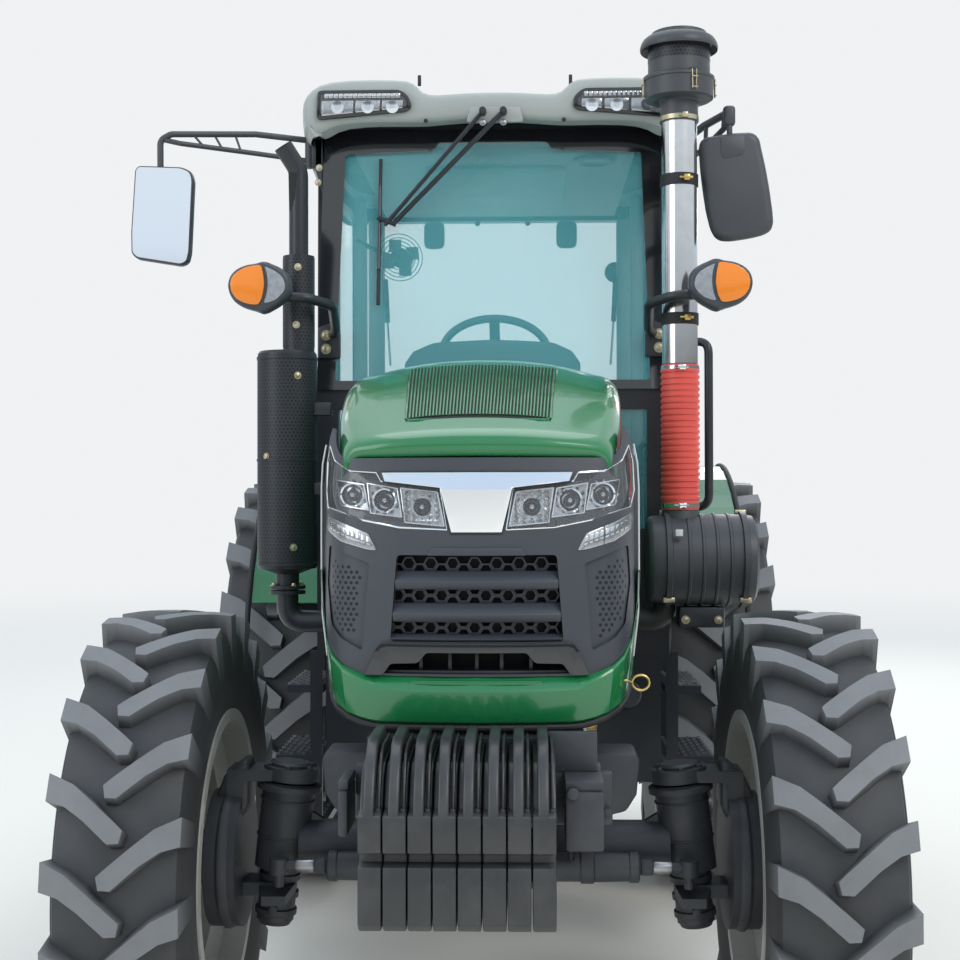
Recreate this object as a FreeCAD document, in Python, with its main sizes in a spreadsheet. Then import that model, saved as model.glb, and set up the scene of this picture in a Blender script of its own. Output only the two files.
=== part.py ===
import FreeCAD, Part
import math
import os
import Sketcher

# Farm tractor with four driven wheels, a glazed cab and a front weight pack.
# X runs across the tractor, its own left side is +X. It faces -Y, and Z is up from the ground.
# Every piece is drawn about the tractor's own datum: X = 0 on its plane of symmetry, Y = 0 on the
# front axle. The last step moves them all to the origin, under the middle of the whole outline.

SIZES = {
    # Datum to origin
    "origin_x": 67.5,
    "origin_y": -1313,
    # Stance
    "wheelbase": 2500,
    "front_track": 1620,
    "rear_track": 1680,
    "gap": 0.3,
    "swing_gap": 6,
    # Front wheel
    "front_tyre_radius": 640,
    "front_tyre_width": 315,
    "front_rim_radius": 381,
    "front_rim_width": 292,
    "front_disc_offset": 0,
    "front_hub_radius": 120,
    # Rear wheel
    "rear_tyre_radius": 820,
    "rear_tyre_width": 430,
    "rear_rim_radius": 457,
    "rear_rim_width": 400,
    "rear_disc_offset": 10,
    "rear_hub_radius": 150,
    "front_lug_count": 20,
    "rear_lug_count": 22,
    "lug_height": 40,
    "tyre_facets": 20,
    "bead_depth": 22,
    "bead_gap": 0.8,
    "rim_wall": 9,
    "disc_wall": 14,
    "hub_inset": 40,
    # Front axle
    "axle_height": 668,
    "axle_tube_radius": 70,
    "kingpin_inset": 285,
    "kingpin_tilt": 6.5,
    "kingpin_case_radius": 68,
    "kingpin_case_top": 170,
    "kingpin_case_bottom": 52,
    "kingpin_cap_height": 34,
    "lower_sleeve_radius": 48,
    "lower_sleeve_length": 130,
    "final_drive_radius": 175,
    "final_drive_width": 79,
    "diff_radius": 150,
    "diff_half_width": 130,
    "steering_rod_radius": 14,
    "steering_rod_forward": 128,
    "steering_cylinder_radius": 36,
    "steering_cylinder_length": 520,
    # Front frame and engine
    "frame_half_width": 215,
    "frame_wall": 16,
    "frame_bottom": 770,
    "frame_top": 1000,
    "frame_front": -480,
    "frame_reach": 1480,
    "bolster_front": -300,
    "bolster_rear": 300,
    "engine_width": 397.4,
    "engine_bottom": 700,
    "engine_top": 1450,
    "engine_reach": 1620,
    # Weights
    "weight_count": 8,
    "weight_pitch": 50,
    "weight_slit": 2,
    "weight_front": -915,
    "weight_rear": -690,
    "weight_top": 1080,
    "weight_bottom": 707,
    "weight_lug_width": 22,
    "weight_shift": -30,
    "carrier_half_width": 300,
    "carrier_plate_inset": 25,
    "ear_reach": 320,
    "carrier_height": 960,
    "carrier_depth": 90,
    # Hood
    "hood_half_width": 350,
    "hood_front": -610,
    "hood_reach": 1560,
    "hood_bottom": 1240,
    "hood_skin": 12,
    "hood_lip_height": 1668,
    "hood_hinge_radius": 7.4,
    "nose_bottom": 1058,
    "grille_half_width": 180,
    "grille_bottom": 1258,
    "grille_top": 1447,
    "grille_depth": 60,
    "slat_height": 40,
    "slat_pitch": 70,
    "lamp_depth": 100,
    # Exhaust and intake
    "stack_reach": 1715,
    "exhaust_x": -638,
    "exhaust_offset": 36,
    "muffler_radius": 92,
    "muffler_bottom": 1340,
    "muffler_top": 2030,
    "exhaust_shroud_radius": 50,
    "exhaust_shroud_top": 2330,
    "exhaust_pipe_radius": 30,
    "exhaust_top": 2600,
    "intake_x": 590,
    "intake_pipe_radius": 55,
    "intake_hose_radius": 60,
    "intake_hose_bottom": 1532,
    "intake_hose_top": 1985,
    "intake_pipe_top": 2790,
    "pre_cleaner_radius": 121,
    "pre_cleaner_top": 3020,
    "air_cleaner_radius": 150,
    "air_cleaner_height": 1378,
    "air_cleaner_inner": 485,
    "air_cleaner_outer": 820,
    # Cab
    "cab_reach": 1500,
    "cab_lean": 190,
    "cab_overhang": 220,
    "cab_front_half_width": 575,
    "cab_middle_half_width": 700,
    "cab_rear_half_width": 650,
    "cab_waist_half_width": 596,
    "cab_floor_height": 1060,
    "cab_floor_thickness": 60,
    "cab_scuttle_height": 1940,
    "cab_waist_clearance": 13,
    "cab_header_height": 2840,
    "footwell_window_width": 105,
    "footwell_window_height": 390,
    "footwell_window_drop": 80,
    "header_depth": 60,
    "post_size": 60,
    "door_hinge_reach": 420,
    "door_slant": 7.06,
    "door_thickness": 40,
    "door_border": 50,
    "door_edge_gap": 20,
    "door_head_gap": 68,
    "arch_front_reach": 940,
    "arch_middle_reach": 800,
    "arch_middle_drop": 195,
    "arch_rear_reach": 480,
    "door_sill_rise": 68,
    "door_swing_gap": 8,
    "glass_thickness": 6,
    "roof_top": 2985,
    "roof_edge": 2900,
    "roof_reach": 1440,
    "roof_overhang": 360,
    "roof_front_half_width": 620,
    "roof_rear_half_width": 735,
    "roof_dip": 55,
    "roof_skirt": 40,
    # Corner lamps and mirrors
    "corner_lamp_x": 698,
    "mirror_long_reach": 1090,
    "mirror_short_reach": 768,
    # Fenders and sides
    "fender_inner": 596.3,
    "fender_outer": 930,
    "fender_gap": 50,
    "fender_skin": 12,
    "fender_rear_angle": 8,
    "fender_front_angle": 156,
    "tank_inner": 330,
    "tank_outer": 550,
    "tank_reach": 1470,
    "tank_length": 570,
    "tank_bottom": 640,
    "tank_top": 1059.7,
    "step_outer": 770,
    "step_reach": 1390,
    "step_width": 400,
    "step_bottom": 450,
    # Transmission and rear axle
    "transmission_half_width": 190,
    "transmission_bottom": 560,
    "transmission_top": 1010,
    "transmission_overhang": 260,
    "rear_axle_tube_radius": 105,
    "pto_radius": 17.5,
    "pto_height": 660,
    "pto_length": 90,
    "drawbar_height": 430,
    "drawbar_hole_radius": 16,
    "drawbar_overhang": 550,
    # Hitch
    "link_pivot_overhang": 140,
    "link_pivot_height": 500,
    "link_pivot_half_spacing": 300,
    "link_end_half_spacing": 425,
    "link_length": 860,
    "link_drop": 6,
    "link_depth": 70,
    "link_thickness": 28,
    "link_eye_radius": 14.3,
    "link_rod_point": 400,
    "lift_arm_height": 930,
    "lift_arm_reach": 330,
    "lift_arm_drop": 15,
    "lift_arm_x": 285,
    # Controls
    "steering_wheel_radius": 205,
    "steering_wheel_reach": 980,
    "steering_wheel_height": 2090,
    "steering_wheel_tilt": 35,
}

SHEET = "Sizes"
doc = FreeCAD.newDocument("farm_tractor")
sheet = doc.addObject("Spreadsheet::Sheet", SHEET)
for row, (alias, number) in enumerate(SIZES.items(), start=1):
    sheet.set(f"A{row}", alias)
    sheet.set(f"B{row}", str(number))
    sheet.setAlias(f"B{row}", alias)
doc.recompute()


class Size:
    """A length or angle: its number now, and the sheet expression that it is bound to."""

    def __init__(self, value, text):
        self.value = float(value)
        self.text = text

    @staticmethod
    def of(other):
        return other if isinstance(other, Size) else Size(other, repr(round(float(other), 6)))

    def __add__(self, other):
        other = Size.of(other)
        return Size(self.value + other.value, f"({self.text} + {other.text})")

    def __sub__(self, other):
        other = Size.of(other)
        return Size(self.value - other.value, f"({self.text} - {other.text})")

    def __mul__(self, other):
        other = Size.of(other)
        return Size(self.value * other.value, f"({self.text} * {other.text})")

    def __truediv__(self, other):
        other = Size.of(other)
        return Size(self.value / other.value, f"({self.text} / {other.text})")

    def __radd__(self, other):
        return Size.of(other) + self

    def __rsub__(self, other):
        return Size.of(other) - self

    def __rmul__(self, other):
        return Size.of(other) * self

    def __neg__(self):
        return Size(-self.value, f"(-1 * {self.text})")

    def __float__(self):
        return self.value


class Sheet:
    """Reads a cell of the sheet by its alias."""

    def __getattr__(self, alias):
        return Size(sheet.get(alias), f"{SHEET}.{alias}")


S = Sheet()
nodes = {}

# Places that follow from the sizes: those of the cab and the rear count from the rear axle
KINGPIN_X = S.front_track / 2 - S.kingpin_inset
FRAME_REAR = S.wheelbase - S.frame_reach
ENGINE_REAR = S.wheelbase - S.engine_reach
HOOD_REAR = S.wheelbase - S.hood_reach
STACK_Y = S.wheelbase - S.stack_reach
CAB_FRONT = S.wheelbase - S.cab_reach
CAB_FRONT_TOP = CAB_FRONT + S.cab_lean
CAB_REAR = S.wheelbase + S.cab_overhang
FENDER_TOP = S.rear_tyre_radius * 2 + S.fender_gap + S.fender_skin
CAB_WAIST = FENDER_TOP + S.cab_waist_clearance
DOOR_REAR = S.wheelbase - S.door_hinge_reach
DOOR_SILL = S.cab_floor_height + S.door_sill_rise
ROOF_FRONT = S.wheelbase - S.roof_reach
ROOF_REAR = S.wheelbase + S.roof_overhang
TANK_FRONT = S.wheelbase - S.tank_reach
STEP_FRONT = S.wheelbase - S.step_reach
TRANSMISSION_REAR = S.wheelbase + S.transmission_overhang
DRAWBAR_REAR = S.wheelbase + S.drawbar_overhang
LINK_PIVOT_Y = S.wheelbase + S.link_pivot_overhang
STEERING_WHEEL_Y = S.wheelbase - S.steering_wheel_reach


def bind(thing, prop, size):
    """Gives a property its number, and its expression where it has one."""
    if isinstance(size, Size):
        thing.setExpression(prop, size.text)


def put(thing, at=(0, 0, 0), turn=None):
    """Places a primitive: at is its base point, turn an axis and an angle in degrees."""
    base = FreeCAD.Vector(*[float(v) for v in at])
    rotation = FreeCAD.Rotation(FreeCAD.Vector(*turn[0]), float(turn[1])) if turn else FreeCAD.Rotation()
    thing.Placement = FreeCAD.Placement(base, rotation)
    for axis, v in zip("xyz", at):
        bind(thing, f"Placement.Base.{axis}", v)
    if turn:
        bind(thing, "Placement.Rotation.Angle", turn[1])
    return thing


def box(name, low, high):
    """A block between two opposite corners."""
    made = doc.addObject("Part::Box", name)
    for prop, a, b in zip(("Length", "Width", "Height"), low, high):
        extent = Size.of(b) - Size.of(a)
        setattr(made, prop, extent.value)
        bind(made, prop, extent)
    return put(made, low)


ALONG = {"x": ((0, 1, 0), 90), "y": ((1, 0, 0), -90), "z": None}


def rod(name, radius, length, at, along="z"):
    """A cylinder from its base point along an axis."""
    made = doc.addObject("Part::Cylinder", name)
    made.Radius, made.Height = float(radius), float(length)
    bind(made, "Radius", radius)
    bind(made, "Height", length)
    return put(made, at, ALONG[along])


def cone(name, radius_low, radius_high, length, at, along="z"):
    """A truncated cone from its base point along an axis."""
    made = doc.addObject("Part::Cone", name)
    made.Radius1, made.Radius2, made.Height = float(radius_low), float(radius_high), float(length)
    bind(made, "Radius1", radius_low)
    bind(made, "Radius2", radius_high)
    bind(made, "Height", length)
    return put(made, at, ALONG[along])


def fuse(name, *pieces):
    made = doc.addObject("Part::MultiFuse", name)
    made.Shapes = list(pieces)
    made.Refine = True
    return made


def cut(name, base, *tools):
    made = doc.addObject("Part::Cut", name)
    made.Base = base
    made.Tool = tools[0] if len(tools) == 1 else fuse(name + "_tools", *tools)
    return made


def common(name, base, tool):
    made = doc.addObject("Part::Common", name)
    made.Base = base
    made.Tool = tool
    return made


def together(name, *pieces):
    """Solids of one node that don't touch."""
    made = doc.addObject("Part::Compound", name)
    made.Links = list(pieces)
    return made


def mirrored(name, source):
    """The same piece on the other side of the plane of symmetry."""
    made = doc.addObject("Part::Mirroring", name)
    made.Source = source
    made.Normal = FreeCAD.Vector(1, 0, 0)
    made.Base = FreeCAD.Vector(0, 0, 0)
    return made


def sketch_on(body, name, role, offset, points):
    """A closed outline of straight lines on one of the body's origin planes, each corner bound to cells."""
    sketch = body.newObject("Sketcher::SketchObject", name)
    plane = next(o for o in body.Origin.OriginFeatures if o.Role == role)
    sketch.AttachmentSupport = [(plane, "")]
    sketch.MapMode = "FlatFace"
    sketch.AttachmentOffset = FreeCAD.Placement(FreeCAD.Vector(0, 0, float(offset)), FreeCAD.Rotation())
    bind(sketch, "AttachmentOffset.Base.z", offset)
    corners = [FreeCAD.Vector(float(u), float(v), 0) for u, v in points]
    count = len(corners)
    for i in range(count):
        sketch.addGeometry(Part.LineSegment(corners[i], corners[(i + 1) % count]))
    for i in range(count):
        sketch.addConstraint(Sketcher.Constraint("Coincident", i, 2, (i + 1) % count, 1))
    for i, corner in enumerate(points):
        for kind, value in zip(("DistanceX", "DistanceY"), corner):
            number = sketch.addConstraint(Sketcher.Constraint(kind, -1, 1, i, 1, float(value)))
            bind(sketch, f"Constraints[{number}]", value)
    return sketch


def pad(name, role, points, start, depth):
    """A body padded from a sketch: role is the plane, start its offset, depth the pad's length."""
    body = doc.addObject("PartDesign::Body", name)
    made = body.newObject("PartDesign::Pad", name + "_pad")
    made.Profile = sketch_on(body, name + "_sketch", role, start, points)
    made.Length = float(depth)
    bind(made, "Length", depth)
    return body


def turned(name, points, at, along="x"):
    """A body of revolution. Its points are (along the axis, radius), and its axis runs through at."""
    body = doc.addObject("PartDesign::Body", name)
    made = body.newObject("PartDesign::Revolution", name + "_turn")
    if along == "x":
        sketch = sketch_on(body, name + "_sketch", "XZ_Plane", 0, points)
        made.Profile = sketch
        made.ReferenceAxis = (sketch, ["H_Axis"])
    else:
        sketch = sketch_on(body, name + "_sketch", "XZ_Plane", 0, [(r, a) for a, r in points])
        made.Profile = sketch
        made.ReferenceAxis = (sketch, ["V_Axis"])
    made.Angle = 360
    return put(body, at)


def feature(name, shape):
    """A solid that Part's own functions made from the sheet's sizes."""
    made = doc.addObject("Part::Feature", name)
    made.Shape = shape
    return made


def node(name, made):
    """Registers a finished sub-part: it moves from the tractor's datum to the origin under its file name."""
    part = doc.addObject("Part::Compound", name + "_part")
    part.Label = name
    part.Links = [made]
    bind(part, "Placement.Base.x", S.origin_x)
    bind(part, "Placement.Base.y", S.origin_y)
    nodes[name] = part
    return made


def vec(x, y, z):
    return FreeCAD.Vector(float(x), float(y), float(z))


def wire(points):
    corners = [vec(*p) for p in points]
    return Part.makePolygon(corners + corners[:1])


def loft(sections, ruled=True):
    """A solid through closed outlines with the same number of corners."""
    return Part.makeLoft([wire(s) for s in sections], True, ruled)


def pipe(points, radius, bend):
    """A round bar along straight runs joined by arcs of one bend radius."""
    knots = [vec(*p) for p in points]
    edges = []
    start = knots[0]
    for before, here, after in zip(knots, knots[1:], knots[2:]):
        back = (before - here).normalize()
        ahead = (after - here).normalize()
        half = back.getAngle(ahead) / 2
        trim = float(bend) / math.tan(half)
        first = here + back * trim
        last = here + ahead * trim
        toward = (back + ahead).normalize()
        middle = here + toward * (float(bend) / math.sin(half) - float(bend))
        edges.append(Part.LineSegment(start, first).toShape())
        edges.append(Part.Arc(first, middle, last).toShape())
        start = last
    edges.append(Part.LineSegment(start, knots[-1]).toShape())
    spine = Part.Wire(edges)
    section = Part.Wire(Part.Circle(knots[0], knots[1] - knots[0], float(radius)).toShape())
    return spine.makePipeShell([section], True, False)


# Wheels


def tyre_profile(radius, width, rim_radius, rim_width):
    """Section of a tyre's carcass, from bead to bead under the lugs, as (across, radius)."""
    half = float(width) / 2
    foot = float(rim_width) / 2 - 12 - float(S.bead_gap)
    lip = foot + 3
    flat = 1 / math.cos(math.pi / float(S.tyre_facets))
    inner = float(rim_radius - S.bead_depth + S.bead_gap) * flat
    flange = float(rim_radius + S.bead_gap) * flat
    crown = float(radius - S.lug_height)
    middle = (inner + crown) / 2
    side = [(foot, inner), (lip, flange), (half, middle), (half * 0.96, crown - 18)]
    cavity = [(half - 46, crown - 60), (foot - 22, inner + 20)]
    outside = [(-a, r) for a, r in side] + side[::-1]
    inside = [(a, r) for a, r in cavity[::-1]] + [(-a, r) for a, r in cavity]
    return outside + inside


def facet(points):
    return Part.Face(Part.makePolygon(points + points[:1]))


def solid_of(faces):
    made = Part.Solid(Part.makeShell(faces))
    if made.Volume < 0:
        made.reverse()
    return made


def carcass(profile):
    """The tyre's ring, with flat facets around it."""
    count = int(float(S.tyre_facets))
    rows = []
    for k in range(count):
        turn = math.tau * (k + 0.5) / count
        rows.append([vec(a, r * math.cos(turn), r * math.sin(turn)) for a, r in profile])
    faces = []
    for here, ahead in zip(rows, rows[1:] + rows[:1]):
        for i in range(len(profile)):
            j = (i + 1) % len(profile)
            faces.append(facet([here[i], here[j], ahead[j], ahead[i]]))
    return solid_of(faces)


LUG_ENDS = (  # share of the half width across, then its two edges around the tyre, in half widths
    (-0.10, -0.5, -0.3),
    (0.955, 0.1, 0.5),
)


def lug(radius, half, hand, turn):
    """A slanted tread lug, its foot sunk in the carcass."""
    out = vec(0, -math.cos(turn), math.sin(turn))
    around = vec(0, math.sin(turn), math.cos(turn))
    top = math.sqrt(radius**2 - (LUG_ENDS[1][2] * half) ** 2)
    low = radius - float(S.lug_height) - 45
    corners = []
    for height in (top, low):
        (a, a_rear, a_front), (b, b_rear, b_front) = LUG_ENDS
        places = ((a, a_rear), (b, b_rear), (b, b_front), (a, a_front))
        corners.append([vec(share * half * hand, 0, 0) + out * height + around * shift * half
                        for share, shift in places])
    upper, lower = corners
    faces = [facet(upper), facet(lower)]
    for i in range(4):
        j = (i + 1) % 4
        faces.append(facet([upper[i], upper[j], lower[j], lower[i]]))
    return solid_of(faces)


def tyre(name, sizes, lug_count, side, centre):
    """A tyre whose lugs stand in two staggered rows, one corner of a lug on the ground."""
    radius, half = float(sizes[0]), float(sizes[1]) / 2
    pitch = math.tau / lug_count
    foot = math.asin(LUG_ENDS[1][2] * half / radius)
    lugs = []
    for hand in (1, -1):
        for k in range(lug_count):
            stagger = 0 if hand == side else 0.5
            lugs.append(lug(radius, half, hand, pitch * (k + stagger) - math.pi / 2 - foot))
    shape = carcass(tyre_profile(*sizes)).fuse(lugs).removeSplitter()
    return put(feature(name, shape), centre)


def rim_profile(radius, width, disc_x, hub_radius, hub_depth):
    """Section of a rim with its drop centre, dished disc and hub, as (across, radius)."""
    half = width / 2
    seat = radius - S.bead_depth
    wall = S.rim_wall
    well = seat - 48
    disc = S.disc_wall
    return [
        (-half, radius),
        (-half + 8, radius),
        (-half + 12, seat),
        (-half + 70, seat),
        (-half + 95, well),
        (half - 115, well),
        (half - 90, seat),
        (half - 12, seat),
        (half - 8, radius),
        (half, radius),
        (half, seat - wall),
        (half - 86, seat - wall),
        (half - 111, well - wall),
        (disc_x + disc, well - wall),
        (disc_x + disc + 26, well - wall - 90),
        (disc_x + disc, hub_radius + 20),
        (disc_x + disc, hub_radius - 10),
        (disc_x + hub_depth, hub_radius - 26),
        (disc_x + hub_depth, 0),
        (disc_x - S.hub_inset, 0),
        (disc_x - S.hub_inset, hub_radius),
        (disc_x, hub_radius),
        (disc_x, hub_radius + 24),
        (disc_x + 26, well - wall - 94),
        (disc_x, well - wall),
        (-half + 91, well - wall),
        (-half + 66, seat - wall),
        (-half, seat - wall),
    ]


WHEELS = {  # side: +1 for the tractor's left side, -1 for its right
    "front_left": (1, "front"),
    "front_right": (-1, "front"),
    "rear_left": (1, "rear"),
    "rear_right": (-1, "rear"),
}


def wheels():
    front = (S.front_tyre_radius, S.front_tyre_width, S.front_rim_radius, S.front_rim_width)
    rear = (S.rear_tyre_radius, S.rear_tyre_width, S.rear_rim_radius, S.rear_rim_width)
    for place, (side, end) in WHEELS.items():
        sizes = front if end == "front" else rear
        track = S.front_track if end == "front" else S.rear_track
        y = Size.of(0) if end == "front" else S.wheelbase
        centre = (track * side / 2, y, sizes[0])
        count = int(float(S.front_lug_count if end == "front" else S.rear_lug_count))
        node(f"tyre_{place}", tyre(f"tyre_{place}", sizes, count, side, centre))
        disc_x = S.front_disc_offset if end == "front" else S.rear_disc_offset
        hub = S.front_hub_radius if end == "front" else S.rear_hub_radius
        depth = Size.of(95 if end == "front" else 70)
        profile = rim_profile(sizes[2], sizes[3], disc_x, hub, depth)
        if side < 0:
            profile = [(-1 * a, r) for a, r in profile]
        node(f"rim_{place}", turned(f"rim_{place}", profile, centre))


# Front axle, knuckles and steering


def kingpin_frame(side):
    """Placement of a kingpin: its own Z runs up the pin, from where the pin crosses the axle."""
    turn = FreeCAD.Rotation(FreeCAD.Vector(0, 1, 0), -side * float(S.kingpin_tilt))
    return FreeCAD.Placement(vec(side * KINGPIN_X, 0, S.axle_height), turn)


def pin_rod(name, side, radius, low, high):
    """A round piece on the kingpin's axis between two heights along it."""
    made = doc.addObject("Part::Cylinder", name)
    made.Radius, made.Height = float(radius), float(high) - float(low)
    bind(made, "Radius", radius)
    bind(made, "Height", Size.of(high) - Size.of(low))
    frame = kingpin_frame(side)
    made.Placement = FreeCAD.Placement(frame.multVec(vec(0, 0, low)), frame.Rotation)
    return made


def front_axle():
    z = S.axle_height
    reach = KINGPIN_X - S.kingpin_case_radius + 18
    tube = rod("axle_tube", S.axle_tube_radius, reach * 2, (-reach, 0, z), "x")
    diff = turned(
        "axle_differential",
        [
            (-S.diff_half_width, S.axle_tube_radius),
            (-S.diff_half_width * 0.5, S.diff_radius),
            (S.diff_half_width * 0.5, S.diff_radius),
            (S.diff_half_width, S.axle_tube_radius),
            (S.diff_half_width, 0),
            (-S.diff_half_width, 0),
        ],
        (0, 0, z),
    )
    nose_length = S.bolster_rear - 40 - S.gap
    nose = rod("axle_pinion_nose", S.diff_radius * 0.55, nose_length, (0, 0, z), "y")
    cases = [
        pin_rod(f"axle_case_{k}", side, S.kingpin_case_radius, -S.kingpin_case_bottom, S.kingpin_case_top)
        for k, side in enumerate((1, -1))
    ]
    forward = S.steering_rod_forward
    length = S.steering_cylinder_length
    cylinder = rod("steering_cylinder", S.steering_cylinder_radius, length, (-length / 2, -forward, z - 20),
        "x")
    saddle = box("cylinder_saddle", (-80, -forward, z - 46), (80, -40, z + 6))
    bore = rod("cylinder_bore", S.steering_rod_radius + 0.05, length + 2,
        (-length / 2 - 1, -forward, z - 20), "x")
    solid = fuse("axle_solid", tube, diff, nose, *cases, cylinder, saddle)
    node("front_axle", cut("front_axle", solid, bore))


def knuckle(side, word):
    """Everything that turns on one kingpin and carries the wheel's hub."""
    z = S.axle_height
    clear = S.swing_gap
    cap_low = S.kingpin_case_top + clear
    cap = pin_rod(f"kingpin_cap_{word}", side, S.kingpin_case_radius + 4, cap_low,
        cap_low + S.kingpin_cap_height)
    low = -S.kingpin_case_bottom - clear
    sleeve = pin_rod(f"lower_sleeve_{word}", side, S.lower_sleeve_radius, low - S.lower_sleeve_length, low)
    web_inner = KINGPIN_X + S.kingpin_case_radius + clear + 22
    hub_z = S.front_tyre_radius
    drive = rod(
        f"final_drive_{word}",
        S.final_drive_radius,
        S.final_drive_width,
        (web_inner, 0, hub_z),
        "x",
    )
    spindle_end = S.front_track / 2 + S.front_disc_offset - S.hub_inset - S.gap
    spindle_start = web_inner + S.final_drive_width
    spindle = rod(f"spindle_{word}", 70, spindle_end - spindle_start, (spindle_start, 0, hub_z), "x")
    top_z = z + cap_low
    upper = box(
        f"upper_arm_{word}",
        (KINGPIN_X - 10, -60, top_z + 2),
        (web_inner + 40, 60, top_z + 30),
    )
    upper_web = box(f"upper_web_{word}", (web_inner, -60, hub_z), (web_inner + 40, 60, top_z + 30))
    lower = box(
        f"lower_arm_{word}",
        (KINGPIN_X + 10, -50, z + low - 60),
        (web_inner + 60, 50, z + low - 26),
    )
    arm = pad(
        f"steering_arm_{word}",
        "XY_Plane",
        [
            (KINGPIN_X - 30, -S.steering_rod_forward - 26),
            (KINGPIN_X + 30, -S.steering_rod_forward - 26),
            (KINGPIN_X + 60, -20),
            (KINGPIN_X + 60, 30),
            (KINGPIN_X - 20, 30),
            (KINGPIN_X - 36, -20),
        ],
        z + low - 58,
        24,
    )
    solid = fuse(f"knuckle_raw_{word}", drive, spindle, upper, upper_web, lower, arm)
    return solid, cap, sleeve


def knuckles():
    solid, cap, sleeve = knuckle(1, "left")
    left = fuse("knuckle_left_solid", solid, cap, sleeve)
    node("knuckle_left", left)
    node("knuckle_right", mirrored("knuckle_right", left))


def steering_rod():
    z = S.axle_height - 20
    forward = S.steering_rod_forward
    end = KINGPIN_X - 20
    bar = rod("tie_rod_bar", S.steering_rod_radius, end * 2, (-end, -forward, z), "x")
    ends = []
    for k, side in enumerate((1, -1)):
        ends.append(rod(f"tie_rod_eye_{k}", 24, 40, (side * (KINGPIN_X - 10), -forward, z - 22)))
        ends.append(rod(f"tie_rod_stud_{k}", 12, 32, (side * (KINGPIN_X - 10), -forward, z - 53)))
    node("steering_rod", fuse("steering_rod", bar, *ends))


# Frame, engine, weights


def chassis():
    w, t = S.frame_half_width, S.frame_wall
    rails = [
        box(f"rail_{k}", (x, S.frame_front, S.frame_bottom + 60), (x + t, FRAME_REAR, S.frame_top))
        for k, x in enumerate((w - t, -w))
    ]
    front_plate = box("front_plate", (-w, S.frame_front, S.frame_bottom + 60),
        (w, S.frame_front + 30, S.frame_top))
    bolster = box("bolster", (-w, S.bolster_front, S.axle_height + 160),
        (w, S.bolster_rear, S.frame_top - 40))
    cheeks = [
        box(f"cheek_{k}", (-130, y, S.axle_height - 30), (130, y + 40, S.axle_height + 180))
        for k, y in enumerate((S.bolster_front, S.bolster_rear - 40))
    ]
    node("front_frame", fuse("front_frame", *rails, front_plate, bolster, *cheeks))
    node(
        "engine_block",
        box(
            "engine_block",
            (-S.engine_width / 2, S.bolster_rear + S.gap + 60, S.engine_bottom),
            (S.engine_width / 2, ENGINE_REAR, S.engine_top),
        ),
    )


def weights():
    """Suitcase weights that hang side by side on the carrier's bar."""
    f, r, top, low = S.weight_front, S.weight_rear, S.weight_top, S.weight_bottom
    beam = S.carrier_height
    profile = [
        (r + 60, top - 40),
        (f + 115, top - 50),
        (f + 77, top - 75),
        (f + 45, top - 132),
        (f, top - 140),
        (f, top - 214),
        (f + 34, top - 220),
        (f + 34, top - 238),
        (f, top - 244),
        (f, low + 17),
        (f + 17, low),
        (r - 20, low),
        (r - 20, beam - 60),
        (r - 20 - S.carrier_depth, beam - 60),
        (r - 20 - S.carrier_depth, beam + 30 + S.gap),
        (r + 40, beam + 30 + S.gap),
        (r + 40, beam - 20),
        (r + 60, beam - 20),
    ]
    lug_profile = [
        (r + 60, top),
        (f + 125, top),
        (f + 90, top - 10),
        (f + 58, top - 34),
        (f + 31, top - 70),
        (f + 13, top - 105),
        (f + 1, top - 137),
        (f + 1, top - 160),
        (f + 60, top - 160),
        (f + 125, top - 60),
        (r + 60, top - 60),
    ]
    pieces = []
    for k in range(int(float(S.weight_count))):
        x = S.weight_shift + S.weight_pitch * (k - float(S.weight_count) / 2) + S.weight_slit / 2
        body = pad(f"weight_{k + 1}", "YZ_Plane", profile, x, S.weight_pitch - S.weight_slit)
        handle = pad(f"weight_lug_{k + 1}", "YZ_Plane", lug_profile, x + 12, S.weight_lug_width)
        pieces.append(fuse(f"weight_whole_{k + 1}", body, handle))
    node("front_weights", together("front_weights", *pieces))
    half = S.carrier_half_width
    back = S.frame_front - S.gap
    bar = box(
        "carrier_bar",
        (-half, r - 20 - S.carrier_depth + 4, beam - 50),
        (half, r + 36, beam + 30),
    )
    plate_half = half - S.carrier_plate_inset
    plate = box("carrier_plate", (-plate_half, r + 64, beam - 190), (plate_half, back, beam + 50))
    arm = box("carrier_neck", (-plate_half, r, beam - 50), (plate_half, back, beam - 26))
    edge = S.weight_pitch * S.weight_count / 2
    ears = []
    for k, (x0, x1) in enumerate(((S.weight_shift + edge + 8, S.ear_reach),
        (-1 * S.ear_reach, S.weight_shift - edge - 8))):
        ears.append(box(f"carrier_ear_{k}", (x0, f + 115, beam - 170), (x1, r + 70, beam + 25)))
    node("weight_carrier", fuse("weight_carrier", bar, plate, arm, *ears))


# Hood and nose


CORNER = ((0.0, 0.0), (0.12, 0.62), (0.45, 0.93), (1.0, 1.0))  # share inward and share of the rise


def hood_section(y, half, side_low, side_high, crown, corner):
    """Outer outline of the hood across the tractor at y, from the lower edge over the top."""
    edge = crown - 0.03 * half
    right = [(half, y, side_low)]
    for inward, rise in CORNER:
        right.append((half - corner * inward, y, side_high + (edge - side_high) * rise))
    right.append((half * 0.4, y, crown))
    return [(-1 * x, y, z) for x, y, z in right] + right[::-1]


HOOD_SECTIONS = (  # y, half width share, height of the side's top, crown height, corner
    (-500, 0.90, 1665, 1738, 55),
    (-300, 0.97, 1732, 1812, 55),
    (60, 1.0, 1805, 1934, 75),
    (HOOD_REAR, 1.0, S.cab_scuttle_height - 110, S.cab_scuttle_height + 25, 75),
)


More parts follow.
